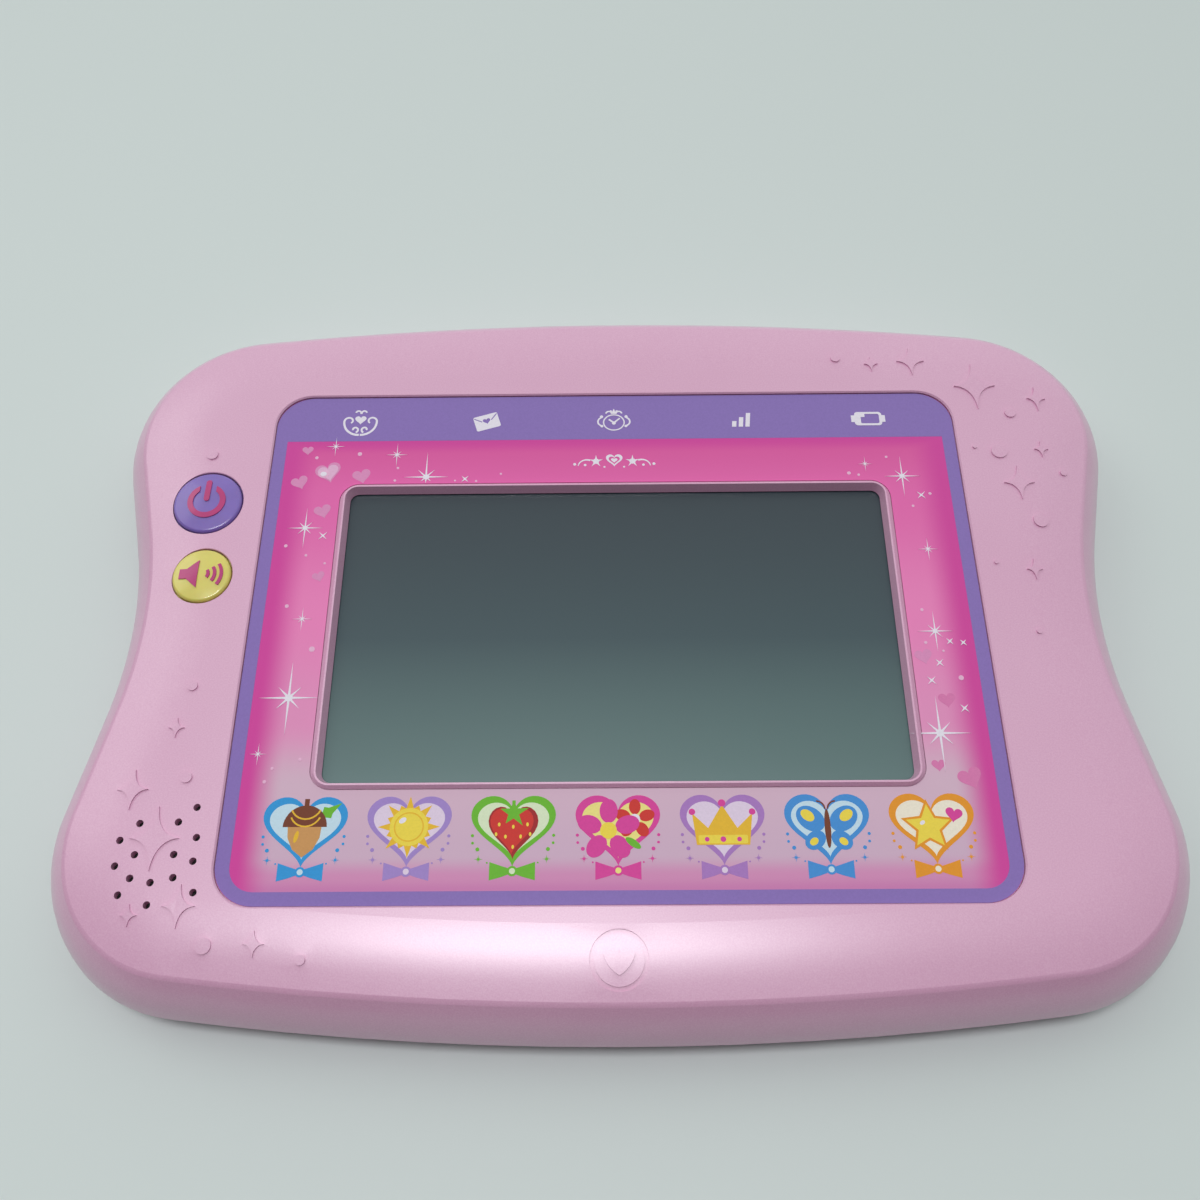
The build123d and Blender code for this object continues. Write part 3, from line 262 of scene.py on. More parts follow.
def printed_film():
    """Polycarbonate over ink: clean, glossy, and blended without a visible dot."""
    material, tree = new_material("printed_film")
    place = add(tree, "TexCoord").outputs["Object"]
    axes = add(tree, "SeparateXYZ", {}, {"Vector": place})
    left = add(tree, "Math", {"operation": "SUBTRACT", 1: FIELD[0] * MM}, {0: axes.outputs["X"]})
    right = add(tree, "Math", {"operation": "SUBTRACT", 0: FIELD[2] * MM}, {1: axes.outputs["X"]})
    above = add(tree, "Math", {"operation": "SUBTRACT", 0: FIELD[3] * MM}, {1: axes.outputs["Y"]})
    steeper = add(tree, "Math", {"operation": "MULTIPLY", 1: TOP_FADE}, {0: above})
    side = add(tree, "Math", {"operation": "MINIMUM"}, {0: left, 1: right})
    inwards = add(tree, "Math", {"operation": "SMOOTH_MIN", 2: CORNER_BLEND * MM}, {0: side, 1: steeper})
    fade = add(tree, "MapRange", {"interpolation_type": "SMOOTHSTEP", "From Min": EDGE_FADE[0] * MM,
                                  "From Max": EDGE_FADE[1] * MM}, {"Value": inwards})
    height = add(tree, "MapRange", {"From Min": FIELD[1] * MM, "From Max": FIELD[3] * MM},
                 {"Value": axes.outputs["Y"]})
    ground = add(tree, "ValToRGB", {}, {"Fac": height})
    ground.color_ramp.interpolation = "EASE"
    field_height = FIELD[3] - FIELD[1]
    for i, (above_bottom, colour) in enumerate(GROUND):
        stops = ground.color_ramp.elements
        stop = stops[i] if i < 2 else stops.new(above_bottom / field_height)
        stop.position = min(above_bottom / field_height, 1)
        stop.color = linear(colour)
    colour = add(tree, "MixRGB", {"Color1": linear(EDGE_MAGENTA)}, {"Fac": fade, "Color2": ground})
    shader = add(tree, "BsdfPrincipled", FILM_GLOSS, {"Base Color": colour})
    add(tree, "OutputMaterial", {}, {"Surface": shader})
    return material


# %% [markdown]
# ## Inks
#
# The print uses a few solid inks. Screen-printed ink lies on through a mesh, so a flat colour is never
# quite flat: a faint mottle of half a millimetre runs through it. All the inks share the film's gloss,
# because the eye sees them through the same film.

# %% Inks
MOTTLE = 0.5                # mm across the mottle that the mesh leaves
INKS = {
    # border, signs and the marks strewn over the field
    "purple_ink": "#8F73BD", "white_ink": "#F3EBF6", "pale_ink": "#F2BCDB", "rose_ink": "#E27DB4",
    "mist_ink": "#E592C3", "glow_ink": "#EDB9DA",
    # frames of the keys
    "blue_ink": "#2E9BDF", "lavender_ink": "#A98AD0", "green_ink": "#6FBE2C", "magenta_ink": "#E2419F",
    "violet_ink": "#B07CC6", "azure_ink": "#4493DC", "orange_ink": "#F09A1E",
    # grounds inside the frames
    "sky_tint": "#CDE6F4", "lilac_tint": "#EBD6EC", "leaf_tint": "#E3EFCB", "lemon_tint": "#F8E98A",
    "cream_tint": "#FBF0DC",
    # pictures on the keys
    "brown_ink": "#7A3B22", "tan_ink": "#D49A5C", "gold_ink": "#F1BE2E", "yellow_ink": "#F9DE4B",
    "red_ink": "#D8322B", "dark_red_ink": "#A81F25",
}
ink_cache = {}


def ink(name):
    """One solid ink, seen through the film."""
    if name not in ink_cache:
        material, tree = new_material(name)
        place = add(tree, "TexCoord").outputs["Object"]
        mottle = add(tree, "TexNoise", {"Scale": grain(MOTTLE), "Detail": 1.0}, {"Vector": place})
        colour = add(tree, "MixRGB", {"blend_type": "MULTIPLY", "Color1": linear(INKS[name]),
                                      "Color2": linear("#EFEFEF")}, {"Fac": mottle})
        shader = add(tree, "BsdfPrincipled", FILM_GLOSS, {"Base Color": colour})
        add(tree, "OutputMaterial", {}, {"Surface": shader})
        ink_cache[name] = material
    return ink_cache[name]


# %% [markdown]
# ## Layers of ink as thin solids
#
# A print could be painted into one big material, but a heart or a scroll is easier to draw as an outline.
# So each printed shape is a closed plate a few hundredths of a millimetre thick. All of them stand on the
# film, and each is a hair thicker than the one printed before it, so the later ink is the one that shows
# and no two tops lie in one plane. A shape is a list of loops in millimetres: the first is its edge and
# the rest are holes.

# %% Ink plates
INK_LIFT = 0.03             # height of a piece's first shape
SECOND_LAYER = 0.06         # height of the first shape of a piece that lies over the border's ink
INK_STEP = 0.0015           # every later shape of a piece stands this much higher


def plate(build, loops, low, high, ink_number):
    """Adds one closed flat plate between two heights to the mesh that is being built."""
    flat = [Vector((x, y, 0)) for loop in loops for x, y in loop]
    levels = [[build.verts.new((p.x * MM, p.y * MM, z * MM)) for p in flat] for z in (low, high)]
    faces = []
    for a, b, c in tessellate_polygon([[Vector((x, y, 0)) for x, y in loop] for loop in loops]):
        if (flat[b] - flat[a]).cross(flat[c] - flat[a]).z < 0:
            b, c = c, b
        faces.append(build.faces.new([levels[1][a], levels[1][b], levels[1][c]]))
        faces.append(build.faces.new([levels[0][c], levels[0][b], levels[0][a]]))
    start = 0
    for loop in loops:
        for i in range(len(loop)):
            a, b = start + i, start + (i + 1) % len(loop)       # numbers of neighbours on the loop
            faces.append(build.faces.new([levels[0][a], levels[0][b], levels[1][b], levels[1][a]]))
        start += len(loop)
    for face in faces:
        face.material_index = ink_number


def printed(name, layers, lift=INK_LIFT):
    """A printed piece on the film: layers of (ink name, shapes), the later ones on top."""
    build = bmesh.new()
    names = list(dict.fromkeys(ink_name for ink_name, shapes in layers))
    top = FILM_TOP + lift
    for ink_name, shapes in layers:
        for loops in shapes:
            plate(build, loops, FILM_TOP, top, names.index(ink_name))
            top += INK_STEP
    bmesh.ops.recalc_face_normals(build, faces=build.faces)
    mesh = bpy.data.meshes.new(name)
    build.to_mesh(mesh)
    for ink_name in names:
        mesh.materials.append(ink(ink_name))
    piece = bpy.data.objects.new(name, mesh)
    scene.collection.objects.link(piece)
    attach(piece, "tablet")
    print(f"{name}: {len(names)} inks, {len(mesh.polygons)} faces")
    build.free()


# %% [markdown]
# ## Outlines to draw with
#
# Every picture on the film is made of a few plain outlines: ovals, hearts, bursts of light, boxes with
# round corners and ribbons along a path. Each function gives one loop of points in millimetres, `mirrored`
# adds the other half of what is the same on both sides, and `moved` puts shapes in their place. Plain
# lists of points are enough here, because a print is flat and every outline is either round or straight.

# %% Outline functions
def moved(shapes, x, y, turn=0, size=1):
    """Shapes turned by some degrees, scaled, then moved."""
    c, s = cos(radians(turn)) * size, sin(radians(turn)) * size
    return [[[(x + c * u - s * v, y + s * u + c * v) for u, v in loop] for loop in loops]
            for loops in shapes]


def mirrored(shapes):
    """The shapes and their mirror image to the left."""
    return shapes + [[[(-x, y) for x, y in loop[::-1]] for loop in loops] for loops in shapes]


def oval(x, y, across, up=None, turn=0, steps=32):
    """An ellipse by its two full sizes, or a circle by one."""
    up = up or across
    corners = [(across / 2 * cos(2 * pi * i / steps), up / 2 * sin(2 * pi * i / steps))
               for i in range(steps)]
    return moved([[corners]], x, y, turn)[0][0]


HEART_LOW, HEART_HIGH = -17, 12     # the heart curve's lowest and highest point before it is scaled


def heart(width, height, x=0, y=0, turn=0, steps=48):
    """A heart round the middle of its own box."""
    middle, span = (HEART_LOW + HEART_HIGH) / 2, HEART_HIGH - HEART_LOW
    loop = []
    for i in range(steps):
        t = 2 * pi * i / steps
        up = 13 * cos(t) - 5 * cos(2 * t) - 2 * cos(3 * t) - cos(4 * t)
        loop.append((width / 2 * sin(t) ** 3, height * (up - middle) / span))
    return moved([[loop]], x, y, turn)[0][0]


def burst(rays, waist, x=0, y=0, turn=0):
    """A star whose rays have the given lengths, anticlockwise from the right."""
    loop = []
    for i, ray in enumerate(rays):
        angle = 2 * pi * i / len(rays)
        between = angle + pi / len(rays)
        loop += [(ray * cos(angle), ray * sin(angle)), (waist * cos(between), waist * sin(between))]
    return moved([[loop]], x, y, turn)[0][0]


def box_loop(x0, y0, x1, y1, bottom=0, top=0, steps=8):
    """A box with its own corner radius at the bottom and at the top."""
    corners = [(x1, y1, top, 0), (x0, y1, top, 1), (x0, y0, bottom, 2), (x1, y0, bottom, 3)]
    loop = []
    for x, y, radius, quarter in corners:
        middle = (x - radius if x == x1 else x + radius, y - radius if y == y1 else y + radius)
        for i in range(steps + 1 if radius else 1):
            angle = pi / 2 * (quarter + i / steps)
            loop.append((middle[0] + radius * cos(angle), middle[1] + radius * sin(angle)))
    return loop


def ribbon(path, width, taper=1):
    """A line of ink along a path; taper is the width at its end, as a share of the start."""
    left, right = [], []
    for i, (x, y) in enumerate(path):
        before, after = path[max(i - 1, 0)], path[min(i + 1, len(path) - 1)]
        across = Vector((before[1] - after[1], after[0] - before[0])).normalized()
        reach = width / 2 * (1 + (taper - 1) * i / (len(path) - 1))
        left.append((x + across.x * reach, y + across.y * reach))
        right.append((x - across.x * reach, y - across.y * reach))
    return left + right[::-1]


def arc_path(x, y, radius, start, end, steps=14, final_radius=None):
    """Points along an arc, or along a spiral if the radius changes; angles in degrees."""
    final_radius = radius if final_radius is None else final_radius
    path = []
    for i in range(steps + 1):
        share = i / steps
        angle = radians(start + (end - start) * share)
        reach = radius + (final_radius - radius) * share
        path.append((x + reach * cos(angle), y + reach * sin(angle)))
    return path


print("a plain heart has", len(heart(1, 1)), "points and a plain oval", len(oval(0, 0, 1)))


# %% [markdown]
# ## Border and top bar
#
# One purple layer frames the whole film. It is narrow at the sides and the bottom and wide at the top,
# where five small white signs stand in a row. Its inner bottom corners are round and its top ones square.

# %% Border
FILM_CORNER = 10.5
FIELD_CORNER = 6.5
printed("print_border", [("purple_ink", [[
    box_loop(film_low.x, film_low.y, film_high.x, film_high.y, FILM_CORNER, FILM_CORNER, 16),
    box_loop(*FIELD, FIELD_CORNER, 0)]])])

# %% [markdown]
# ## Signs on the top bar
#
# Five small white signs tell what the toy pretends to do: a tiara, an envelope, a clock, bars of signal
# and a battery. A printer would lay them on the purple, so they are one more piece above the border. Each
# is drawn round its own middle and then moved to its place in the row.

# %% Signs on the top bar
BAR_Y = 65.0
SIGN_PITCH = 38.2


def tiara_sign():
    """A small tiara: a heart between two scrolls."""
    big = arc_path(0.3, 0.3, 4.6, -92, 2, 16) + arc_path(3.3, 0.6, 1.6, 8, 235, 16, 0.7)
    scrolls = mirrored([
        [ribbon(big, 0.75, 0.7)],
        [ribbon(arc_path(1.5, -2.4, 1.1, 250, -20, 16, 0.5), 0.6)],
        [ribbon(arc_path(1.0, 3.6, 0.95, 200, 10, 12, 0.6), 0.55)],
    ])
    return scrolls + [[heart(3.4, 3.0, 0, 0.9)]]


def envelope_sign():
    """A tilted envelope; the flap's fold and a heart are left open."""
    body = box_loop(-3.7, -2.6, 3.7, 2.6, 0.5, 0.5, 4)
    fold_left = ribbon([(-3.5, 2.1), (-1.4, 0.35)], 0.32)
    fold_right = ribbon([(3.5, 2.1), (1.4, 0.35)], 0.32)
    return moved([[body, heart(2.3, 2.0, 0, 0.2), fold_left, fold_right]], 0, 0, 17)


def clock_sign():
    """A round clock with scrolls at its sides and a small crown."""
    sides = mirrored([[ribbon(arc_path(3.3, -0.3, 1.5, -70, 70, 10), 0.5)],
                      [oval(3.7, 1.5, 1.0)], [oval(3.6, -1.9, 0.9)],
                      [ribbon(arc_path(1.5, 2.5, 0.9, 10, 180, 10), 0.5)]])
    ring = [oval(0, -0.6, 6.6, 5.9), oval(0, -0.6, 5.8, 5.1)]
    hands = [[ribbon([(-1.5, 0.5), (0, -0.7)], 0.55)], [ribbon([(1.8, 0.9), (0, -0.7)], 0.5)],
             [oval(0, -0.8, 1.2)]]
    crown = [[[(-0.8, 2.5), (0, 4.4), (0.8, 2.5)]], [oval(-0.9, 3.4, 0.8)], [oval(0.9, 3.4, 0.8)]]
    return sides + [ring] + hands + crown


def signal_sign():
    """Three leaning bars of growing height."""
    first, low, pitch, width, slant = -2.8, -2.5, 2.0, 1.3, 0.09
    shapes = []
    for i, height in enumerate((2.0, 3.4, 4.9)):
        x, lean = first + pitch * i, slant * height
        shapes.append([[(x, low), (x + width, low), (x + width + lean, low + height),
                        (x + lean, low + height)]])
    return shapes


def battery_sign():
    """A battery outline with a small bar of charge at its left end."""
    body = box_loop(-4.1, -2.4, 4.1, 2.4, 1.0, 1.0, 4)
    room = box_loop(-2.2, -1.7, 3.3, 1.7, 0.5, 0.5, 4)
    return [[body, room], [box_loop(-5.1, -1.2, -4.0, 1.2)], [box_loop(4.0, -1.2, 5.1, 1.2)],
            [box_loop(-2.4, 0.6, -1.0, 1.8)]]


signs = [tiara_sign(), envelope_sign(), clock_sign(), signal_sign(), battery_sign()]
bar_shapes = []
for i, sign in enumerate(signs):
    bar_shapes += moved(sign, (i - len(signs) // 2) * SIGN_PITCH, BAR_Y)
printed("print_signs", [("white_ink", bar_shapes)], SECOND_LAYER)

# %% [markdown]
# ## Ornament over the screen
#
# A small white ornament stands between the bar and the screen: a heart with a star on each side and a
# scroll that runs out to dots. It is a plain decoration of its own.

# %% Ornament
ORNAMENT_Y = 50.6
ornament = mirrored([
    [burst([2.2, 0.95] * 5, 0.9, 5.4, 0.1, 18)],
    [ribbon(arc_path(8.6, -2.2, 3.0, 120, 20, 14, 2.2), 0.55, 0.5)],
    [oval(11.7, -0.9, 0.9)], [oval(2.9, -1.9, 0.6)], [oval(8.6, -1.2, 0.8)],
])
printed("print_ornament", [("white_ink", moved(
    ornament + [[heart(4.9, 4.3, 0, 0.3), heart(3.3, 2.8, 0, 0.3)], [heart(1.9, 1.6, 0, 0.3)]],
    0, ORNAMENT_Y))])

# %% [markdown]
# ## Sparkles on the field
#
# White bursts, small crosses, dots and hearts are strewn over the two sides of the field and the corners
# of the top. A burst has a long pair of rays up and down, a shorter level pair and four short slanting
# ones. The places are listed one by one; a random scatter would crowd some corners.

# %% Sparkles
# bursts: x, y, length of the longest ray
BURSTS = [
    (-87.9, -23.4, 10.5), (-89.2, 28.8, 6.5), (-55.4, 45.7, 8.5), (-64.5, 53.5, 4.2), (-86.9, -0.1, 3.6),
    (-83.0, 56.6, 3.6), (-94.2, -39.1, 3.0), (84.9, -34.5, 10.5), (87.4, -5.1, 6.2), (84.2, 44.7, 6.8),
    (88.7, 20.4, 3.6), (73.8, 49.0, 2.6),
]
# crosses: x, y, size
CROSSES = [(-83.8, 26.2, 1.7), (-43.9, 44.9, 1.5), (89.0, 38.2, 1.7), (87.4, -14.5, 1.5),
           (84.6, -19.6, 1.6), (91.0, -8.2, 1.3), (92.3, -27.6, 1.6), (94.6, -8.6, 1.2)]
# dots: x, y, diameter
SPOTS = [
    (-88.3, 52.7, 1.0), (-75.6, 53.9, 1.3), (-63.9, 48.9, 0.8), (-33.4, 46.6, 0.7), (-64.5, 44.6, 0.8),
    (-94.1, 23.0, 1.0), (-91.6, 3.9, 1.1), (-83.2, -9.2, 1.6), (-79.6, 25.6, 0.8), (-88.0, 19.9, 0.8),
    (-82.4, 17.3, 0.7), (-40.6, 44.2, 0.7), (68.8, 45.9, 1.1), (80.3, 51.4, 0.8), (86.2, 34.6, 0.8),
    (71.6, 45.3, 0.8), (91.6, 38.7, 0.9), (84.6, 1.4, 0.9), (84.4, -8.5, 0.9), (92.6, -18.9, 1.4),
    (-83.0, -40.6, 0.9), (-90.0, -43.0, 0.8), (-91.6, -46.6, 0.9), (-46.8, 44.4, 0.6), (88.9, -11.0, 0.7),
]
# hearts: x, y, width, turn
PALE_HEARTS = [(-91.2, 55.1, 3.3, 5), (-92.3, 43.9, 5.0, 22), (-74.3, 45.9, 5.4, 14),
               (-84.6, 34.1, 5.0, 18), (-83.6, 12.9, 3.6, 20), (83.4, -12.8, 4.8, 10)]
BRIGHT_HEART = (-84.2, 47.2, 7.6, 16)
ROSE_HEARTS = [(88.0, -25.4, 4.6, 4), (83.4, -43.4, 3.6, 2), (91.3, -47.0, 6.4, 20)]

# %% Shapes of the strewn marks
LONG_RAY, LEVEL_RAY, SLANT_RAY = 1.0, 0.78, 0.42        # shares of a burst's reach
BURST_CORE = 0.2            # diameter of a burst's round middle, as a share of its reach
CROSS_WAIST = 0.3
HEART_SHAPE = 0.9           # height of a strewn heart over its width
GLOW_SHARES = (0.8, 0.7)    # width and height of the glow in the bright heart, over the heart's width
RING = (-1.4, -0.1, 3.4, 2.8)       # oval in the glow: x and y from the heart's middle, width, height
GLINT = (-1.5, -0.2, 1.9, 1.5)      # the whitest oval, in the ring
RIM_EDGE = (80.3, 43.6)     # the film ends here, beside and above the screen


def sparkle(x, y, reach):
    """A burst with its long rays up and down, cut short where it would run over the screen's rim."""
    rays = [reach * ray for ray in (LEVEL_RAY, SLANT_RAY, LONG_RAY, SLANT_RAY) * 2]
    if y > RIM_EDGE[1] and abs(x) < RIM_EDGE[0]:
        rays[5:8] = [min(ray, y - RIM_EDGE[1]) for ray in rays[5:8]]
    waist = 0.075 * reach + 0.06        # a small burst is a little fuller than a big one
    return [burst(rays, waist, x, y)]


def strewn_heart(x, y, width, turn):
    """One heart of the field."""
    return [heart(width, width * HEART_SHAPE, x, y, turn)]


def in_bright_heart(across, up, width, height):
    """An oval inside the bright heart, placed from the heart's middle."""
    return [oval(BRIGHT_HEART[0] + across, BRIGHT_HEART[1] + up, width, height)]


# %% Print the sparkles
white_marks = [sparkle(*mark) for mark in BURSTS]
white_marks += [[oval(x, y, BURST_CORE * reach)] for x, y, reach in BURSTS]
white_marks += [[burst([size] * 4, CROSS_WAIST, x, y, 45)] for x, y, size in CROSSES]
x, y, width, turn = BRIGHT_HEART
glow = heart(GLOW_SHARES[0] * width, GLOW_SHARES[1] * width, x, y, turn)
printed("print_sparkles", [
    ("rose_ink", [strewn_heart(*mark) for mark in ROSE_HEARTS]),
    ("mist_ink", [strewn_heart(*mark) for mark in PALE_HEARTS + [BRIGHT_HEART]]),
    ("glow_ink", [[glow]]),
    ("pale_ink", [[oval(*mark)] for mark in SPOTS] + [in_bright_heart(*RING)]),
    ("white_ink", white_marks + [in_bright_heart(*GLINT)]),
])

# %% [markdown]
# ## Seven picture keys
#
# Under the screen the film carries seven keys. Each is a heart-shaped frame in its own colour over a tied
# bow, with a burst and a few dots on either side, and a small picture inside. The pictures here are plain
# things that a child knows: an acorn, a sun, a strawberry, flowers, a crown, a butterfly and a star. One
# function draws the frame, so the seven are alike, and each picture has a function of its own.

# %% Key frames
KEY_PITCH = 26.6
KEY_Y = -59.85
PICTURE_SIZE = 1.2
PICTURE_RISE = 0.2
FRAME_WIDTH = 21.6
FRAME_HEIGHT = 18.3
FRAME_BAND = 1.7
OPENING = (FRAME_WIDTH - 2 * FRAME_BAND, FRAME_HEIGHT - 2.25 * FRAME_BAND)      # lower, for a thicker point
FRAME_STEPS = 72
KNOT_Y = -10.2
KNOT_SIZE = 2.6
KNOT_LIGHT = 1.5            # diameter of the pale spot on the knot


def bow():
    """The bow's two flared wings, a little below the frame's point."""
    wing = [(0.6, -9.6), (2.8, -8.9), (5.75, -7.9), (5.75, -12.5), (2.8, -11.7), (0.6, -10.9)]
    return mirrored([[wing[::-1]]])


def key_frame():
    """The heart band, the bow with its knot and the marks beside it, in one ink."""
    band = [heart(FRAME_WIDTH, FRAME_HEIGHT, steps=FRAME_STEPS), heart(*OPENING, 0, 0.15, steps=FRAME_STEPS)]
    marks = mirrored([[burst([1.1, 0.6] * 4, 0.28, 8.6, -7.2)], [oval(8.9, -4.7, 1.0)],
                      [oval(10.2, -3.1, 0.7)], [oval(10.3, -1.2, 0.8)], [oval(6.4, -8.1, 0.45)]])
    return [band] + bow() + marks + [[oval(0, KNOT_Y, KNOT_SIZE)]]


# %% Key pictures
def acorn():
    """A tan nut in a brown cup, with a leaf."""
    nut = [(-3.6, 1.0), (-3.4, -1.4), (-2.2, -3.9), (0, -5.6), (2.2, -3.9), (3.4, -1.4), (3.6, 1.0)]
    cup = arc_path(0, 0.9, 4.7, 0, 180, 20)
    leaf = [burst([3.6, 1.5, 3.0, 1.5], 1.1, 4.6, 4.0, 35)]
    ridges = [[ribbon(arc_path(0, y, 3.4, 205, 335, 10), 0.35)] for y in (4.4, 6.0)]
    stalk = box_loop(-0.5, 4.8, 0.5, 7)
    return [("green_ink", [leaf]), ("tan_ink", [[nut]]), ("brown_ink", [[cup], [stalk]]),
            ("gold_ink", ridges + [[oval(-1.6, -1.2, 0.9, 2.6, -12)]])]


def sun():
    """A round face of light with pointed rays."""
    return [("gold_ink", [[burst([6.6, 5.0] * 8, 4.1, 0, 0.8)]]), ("yellow_ink", [[oval(0, 0.8, 8.2)]]),
            ("gold_ink", [[oval(0, 0.8, 6.4), oval(0, 0.8, 5.8)]]),
            ("white_ink", [[oval(-1.4, 2.2, 1.7, 1.1, 35)]])]


def strawberry():
    """A red berry with yellow seeds under a green collar."""
    berry = [heart(10.6, 11.4, 0, -0.6, steps=40)]
    places = [(-3, 1.2), (0, 0.7), (3, 1.2), (-1.6, -1.4), (1.6, -1.4), (0, -3.6), (-3.6, -0.9),
              (3.6, -0.9)]
    seeds = [[oval(x, y, 0.55, 0.85)] for x, y in places]
    collar = [burst([3.4, 2.8, 3.0, 2.8, 3.4], 1.2, 0, 3.7, 18)]
    return [("dark_red_ink", [berry]), ("red_ink", [[heart(9.2, 10.0, -0.3, -0.3, steps=40)]]),
            ("yellow_ink", seeds), ("green_ink", [collar, [box_loop(-0.35, 3.6, 0.35, 6.4)]])]


def flower(petal_ink, centre_ink, size, x, y):
    """Five round petals about a centre; every measure is a share of the flower's size."""
    petals = []
    for i in range(5):
        angle = 2 * pi * i / 5 + 0.3
        petals.append([oval(x + 0.5 * size * cos(angle), y + 0.5 * size * sin(angle),
                            0.62 * size, 0.46 * size, 72 * i + 17)])
    return [(petal_ink, petals), (centre_ink, [[oval(x, y, 0.42 * size)]])]


def posy():
    """A pink flower before a small red one."""
    return (flower("red_ink", "white_ink", 5.4, 3.6, 2.2)
            + flower("magenta_ink", "yellow_ink", 8.4, -2.0, -0.2)
            + [("green_ink", [[oval(3.2, -2.9, 3.8, 1.5, -35)]])])


def crown():
    """A gold crown of five points with round stones."""
    band = [(-5.6, -3.4), (5.6, -3.4), (6.4, 3.4), (3.1, 0.2), (0, 5.2), (-3.1, 0.2), (-6.4, 3.4)]
    stones = [[oval(-6.4, 3.7, 1.4)], [oval(0, 5.6, 1.6)], [oval(6.4, 3.7, 1.4)], [oval(0, -2.2, 1.2)],
              [oval(-3.4, -2.2, 1.0)], [oval(3.4, -2.2, 1.0)]]
    return [("gold_ink", [[band]]), ("yellow_ink", [[box_loop(-5.2, -3.1, 5.2, -1.3, 0.3, 0.3, 3)]]),
            ("magenta_ink", stones)]


def butterfly():
    """Two pairs of wings with pale spots."""
    wings = mirrored([[oval(3.5, 2.1, 6.6, 4.9, 38)], [oval(2.8, -2.5, 4.8, 3.7, -38)]])
    spots = mirrored([[oval(4.1, 2.8, 3.2, 2.2, 38)], [oval(3.1, -2.8, 2.0, 1.5, -38)]])
    feelers = mirrored([[ribbon(arc_path(2.0, 4.2, 1.7, 180, 90, 8), 0.35)]])
    return [("azure_ink", wings), ("yellow_ink", spots), ("brown_ink", [[oval(0, 0, 1.3, 8.4)]] + feelers)]


def gold_star():
    """A five-pointed star with a small heart beside it."""
    return [("orange_ink", [[burst([6.0] * 5, 2.9, -0.9, 0.2, 18)]]),
            ("yellow_ink", [[burst([4.9] * 5, 2.3, -0.9, 0.2, 18)]]),
            ("magenta_ink", [[heart(3.6, 3.2, 4.7, 2.6, -12)]]),
            ("white_ink", [[oval(-2.1, 1.1, 1.2, 0.8, 35)]])]


# %% Print the keys
KEYS = [                    # ink of the frame, ink of the ground inside it, picture
    ("blue_ink", "sky_tint", acorn), ("lavender_ink", "lilac_tint", sun),
    ("green_ink", "leaf_tint", strawberry), ("magenta_ink", "lemon_tint", posy),
    ("violet_ink", "lilac_tint", crown), ("azure_ink", "sky_tint", butterfly),
    ("orange_ink", "cream_tint", gold_star),
]
for i, (frame_ink, tint, picture) in enumerate(KEYS):
    key_x = (i - len(KEYS) // 2) * KEY_PITCH
    inside = [[heart(FRAME_WIDTH - FRAME_BAND, FRAME_HEIGHT - FRAME_BAND, 0, 0.1, steps=FRAME_STEPS)]]
    knot = [[oval(0, KNOT_Y, KNOT_LIGHT)]]
    pictures = [(name, moved(shapes, 0, PICTURE_RISE, size=PICTURE_SIZE)) for name, shapes in picture()]
    layers = [(tint, inside), (frame_ink, key_frame()), (tint, knot)] + pictures
    printed(f"print_key_{i + 1}", [(name, moved(shapes, key_x, KEY_Y)) for name, shapes in layers])

# %% [markdown]
# ## Screen
#
# The touch panel is glass under a dull, hard-coated film that keeps fingers from sticking, over a display
# that is switched off. So the screen is not a mirror: its matt tooth spreads the pale room into a veil,
# which makes the dark slate of the far end turn to grey-green towards the near one. A rough enough
# reflection alone came out too even, so that veil is a painted reflection: its colour is put into the
# film by its place on the screen.

# %% Touch film
SCREEN_ENDS = (-50, 46)     # the near and the far end of the glass
TOOTH = 0.25                # mm; the real tooth is finer than the eye can part
# painted reflection: the pale room's veil, from the far end to the near one, painted into the film's colour
PAINTED_REFLECTION = [(0, "#3F4A52"), (1, "#66817F"), (0.55, "#485B61")]      # share of the way nearer, and the tint


def touch_film():
    """Hard-coated touch film: a fine matt tooth spreads every reflection, and its colour carries a painted
    reflection, dark slate at the far end and grey-green at the near end.
    """
    material, tree = new_material("touch_glass")
    place = add(tree, "TexCoord").outputs["Object"]
    tooth = add(tree, "TexNoise", {"Scale": grain(TOOTH), "Detail": 1.0}, {"Vector": place})
    axes = add(tree, "SeparateXYZ", {}, {"Vector": place})
    nearness = add(tree, "MapRange", {"interpolation_type": "SMOOTHSTEP", "From Min": SCREEN_ENDS[1] * MM,
                                      "From Max": SCREEN_ENDS[0] * MM}, {"Value": axes.outputs["Y"]})
    # painted reflection: the film's colour goes from dark slate at the far end to grey-green at the near end
    colour = add(tree, "ValToRGB", {}, {"Fac": nearness})
    stops = colour.color_ramp.elements
    for i, (share, tint) in enumerate(PAINTED_REFLECTION):
        stop = stops[i] if i < 2 else stops.new(share)
        stop.color = linear(tint)
    bump = add(tree, "Bump", {"Strength": 0.05, "Distance": 0.01 * MM}, {"Height": tooth})
    shader = add(tree, "BsdfPrincipled",
                 {"Roughness": 0.3, "IOR": 1.5, "Alpha": 0.8, "Specular IOR Level": 0.55},
                 {"Base Color": colour, "Normal": bump})
    add(tree, "OutputMaterial", {}, {"Surface": shader})
    return material


# %% Display glass
ROW_WAVE = 1.2              # mm for 20 radians of the wave, which makes rows of 0.19 mm


def display_glass():
    """The dark polariser of a display that is off, with a hint of its rows."""
    material, tree = new_material("lcd_glass")
    place = add(tree, "TexCoord").outputs["Object"]
    rows = add(tree, "TexWave", {"Scale": grain(ROW_WAVE), "bands_direction": "Y"}, {"Vector": place})
    colour = add(tree, "MixRGB", {"Color1": linear("#2B3637"), "Color2": linear("#313D3D")}, {"Fac": rows})
    shader = add(tree, "BsdfPrincipled", {"Roughness": 0.2, "IOR": 1.5}, {"Base Color": colour})
    add(tree, "OutputMaterial", {}, {"Surface": shader})
    return material


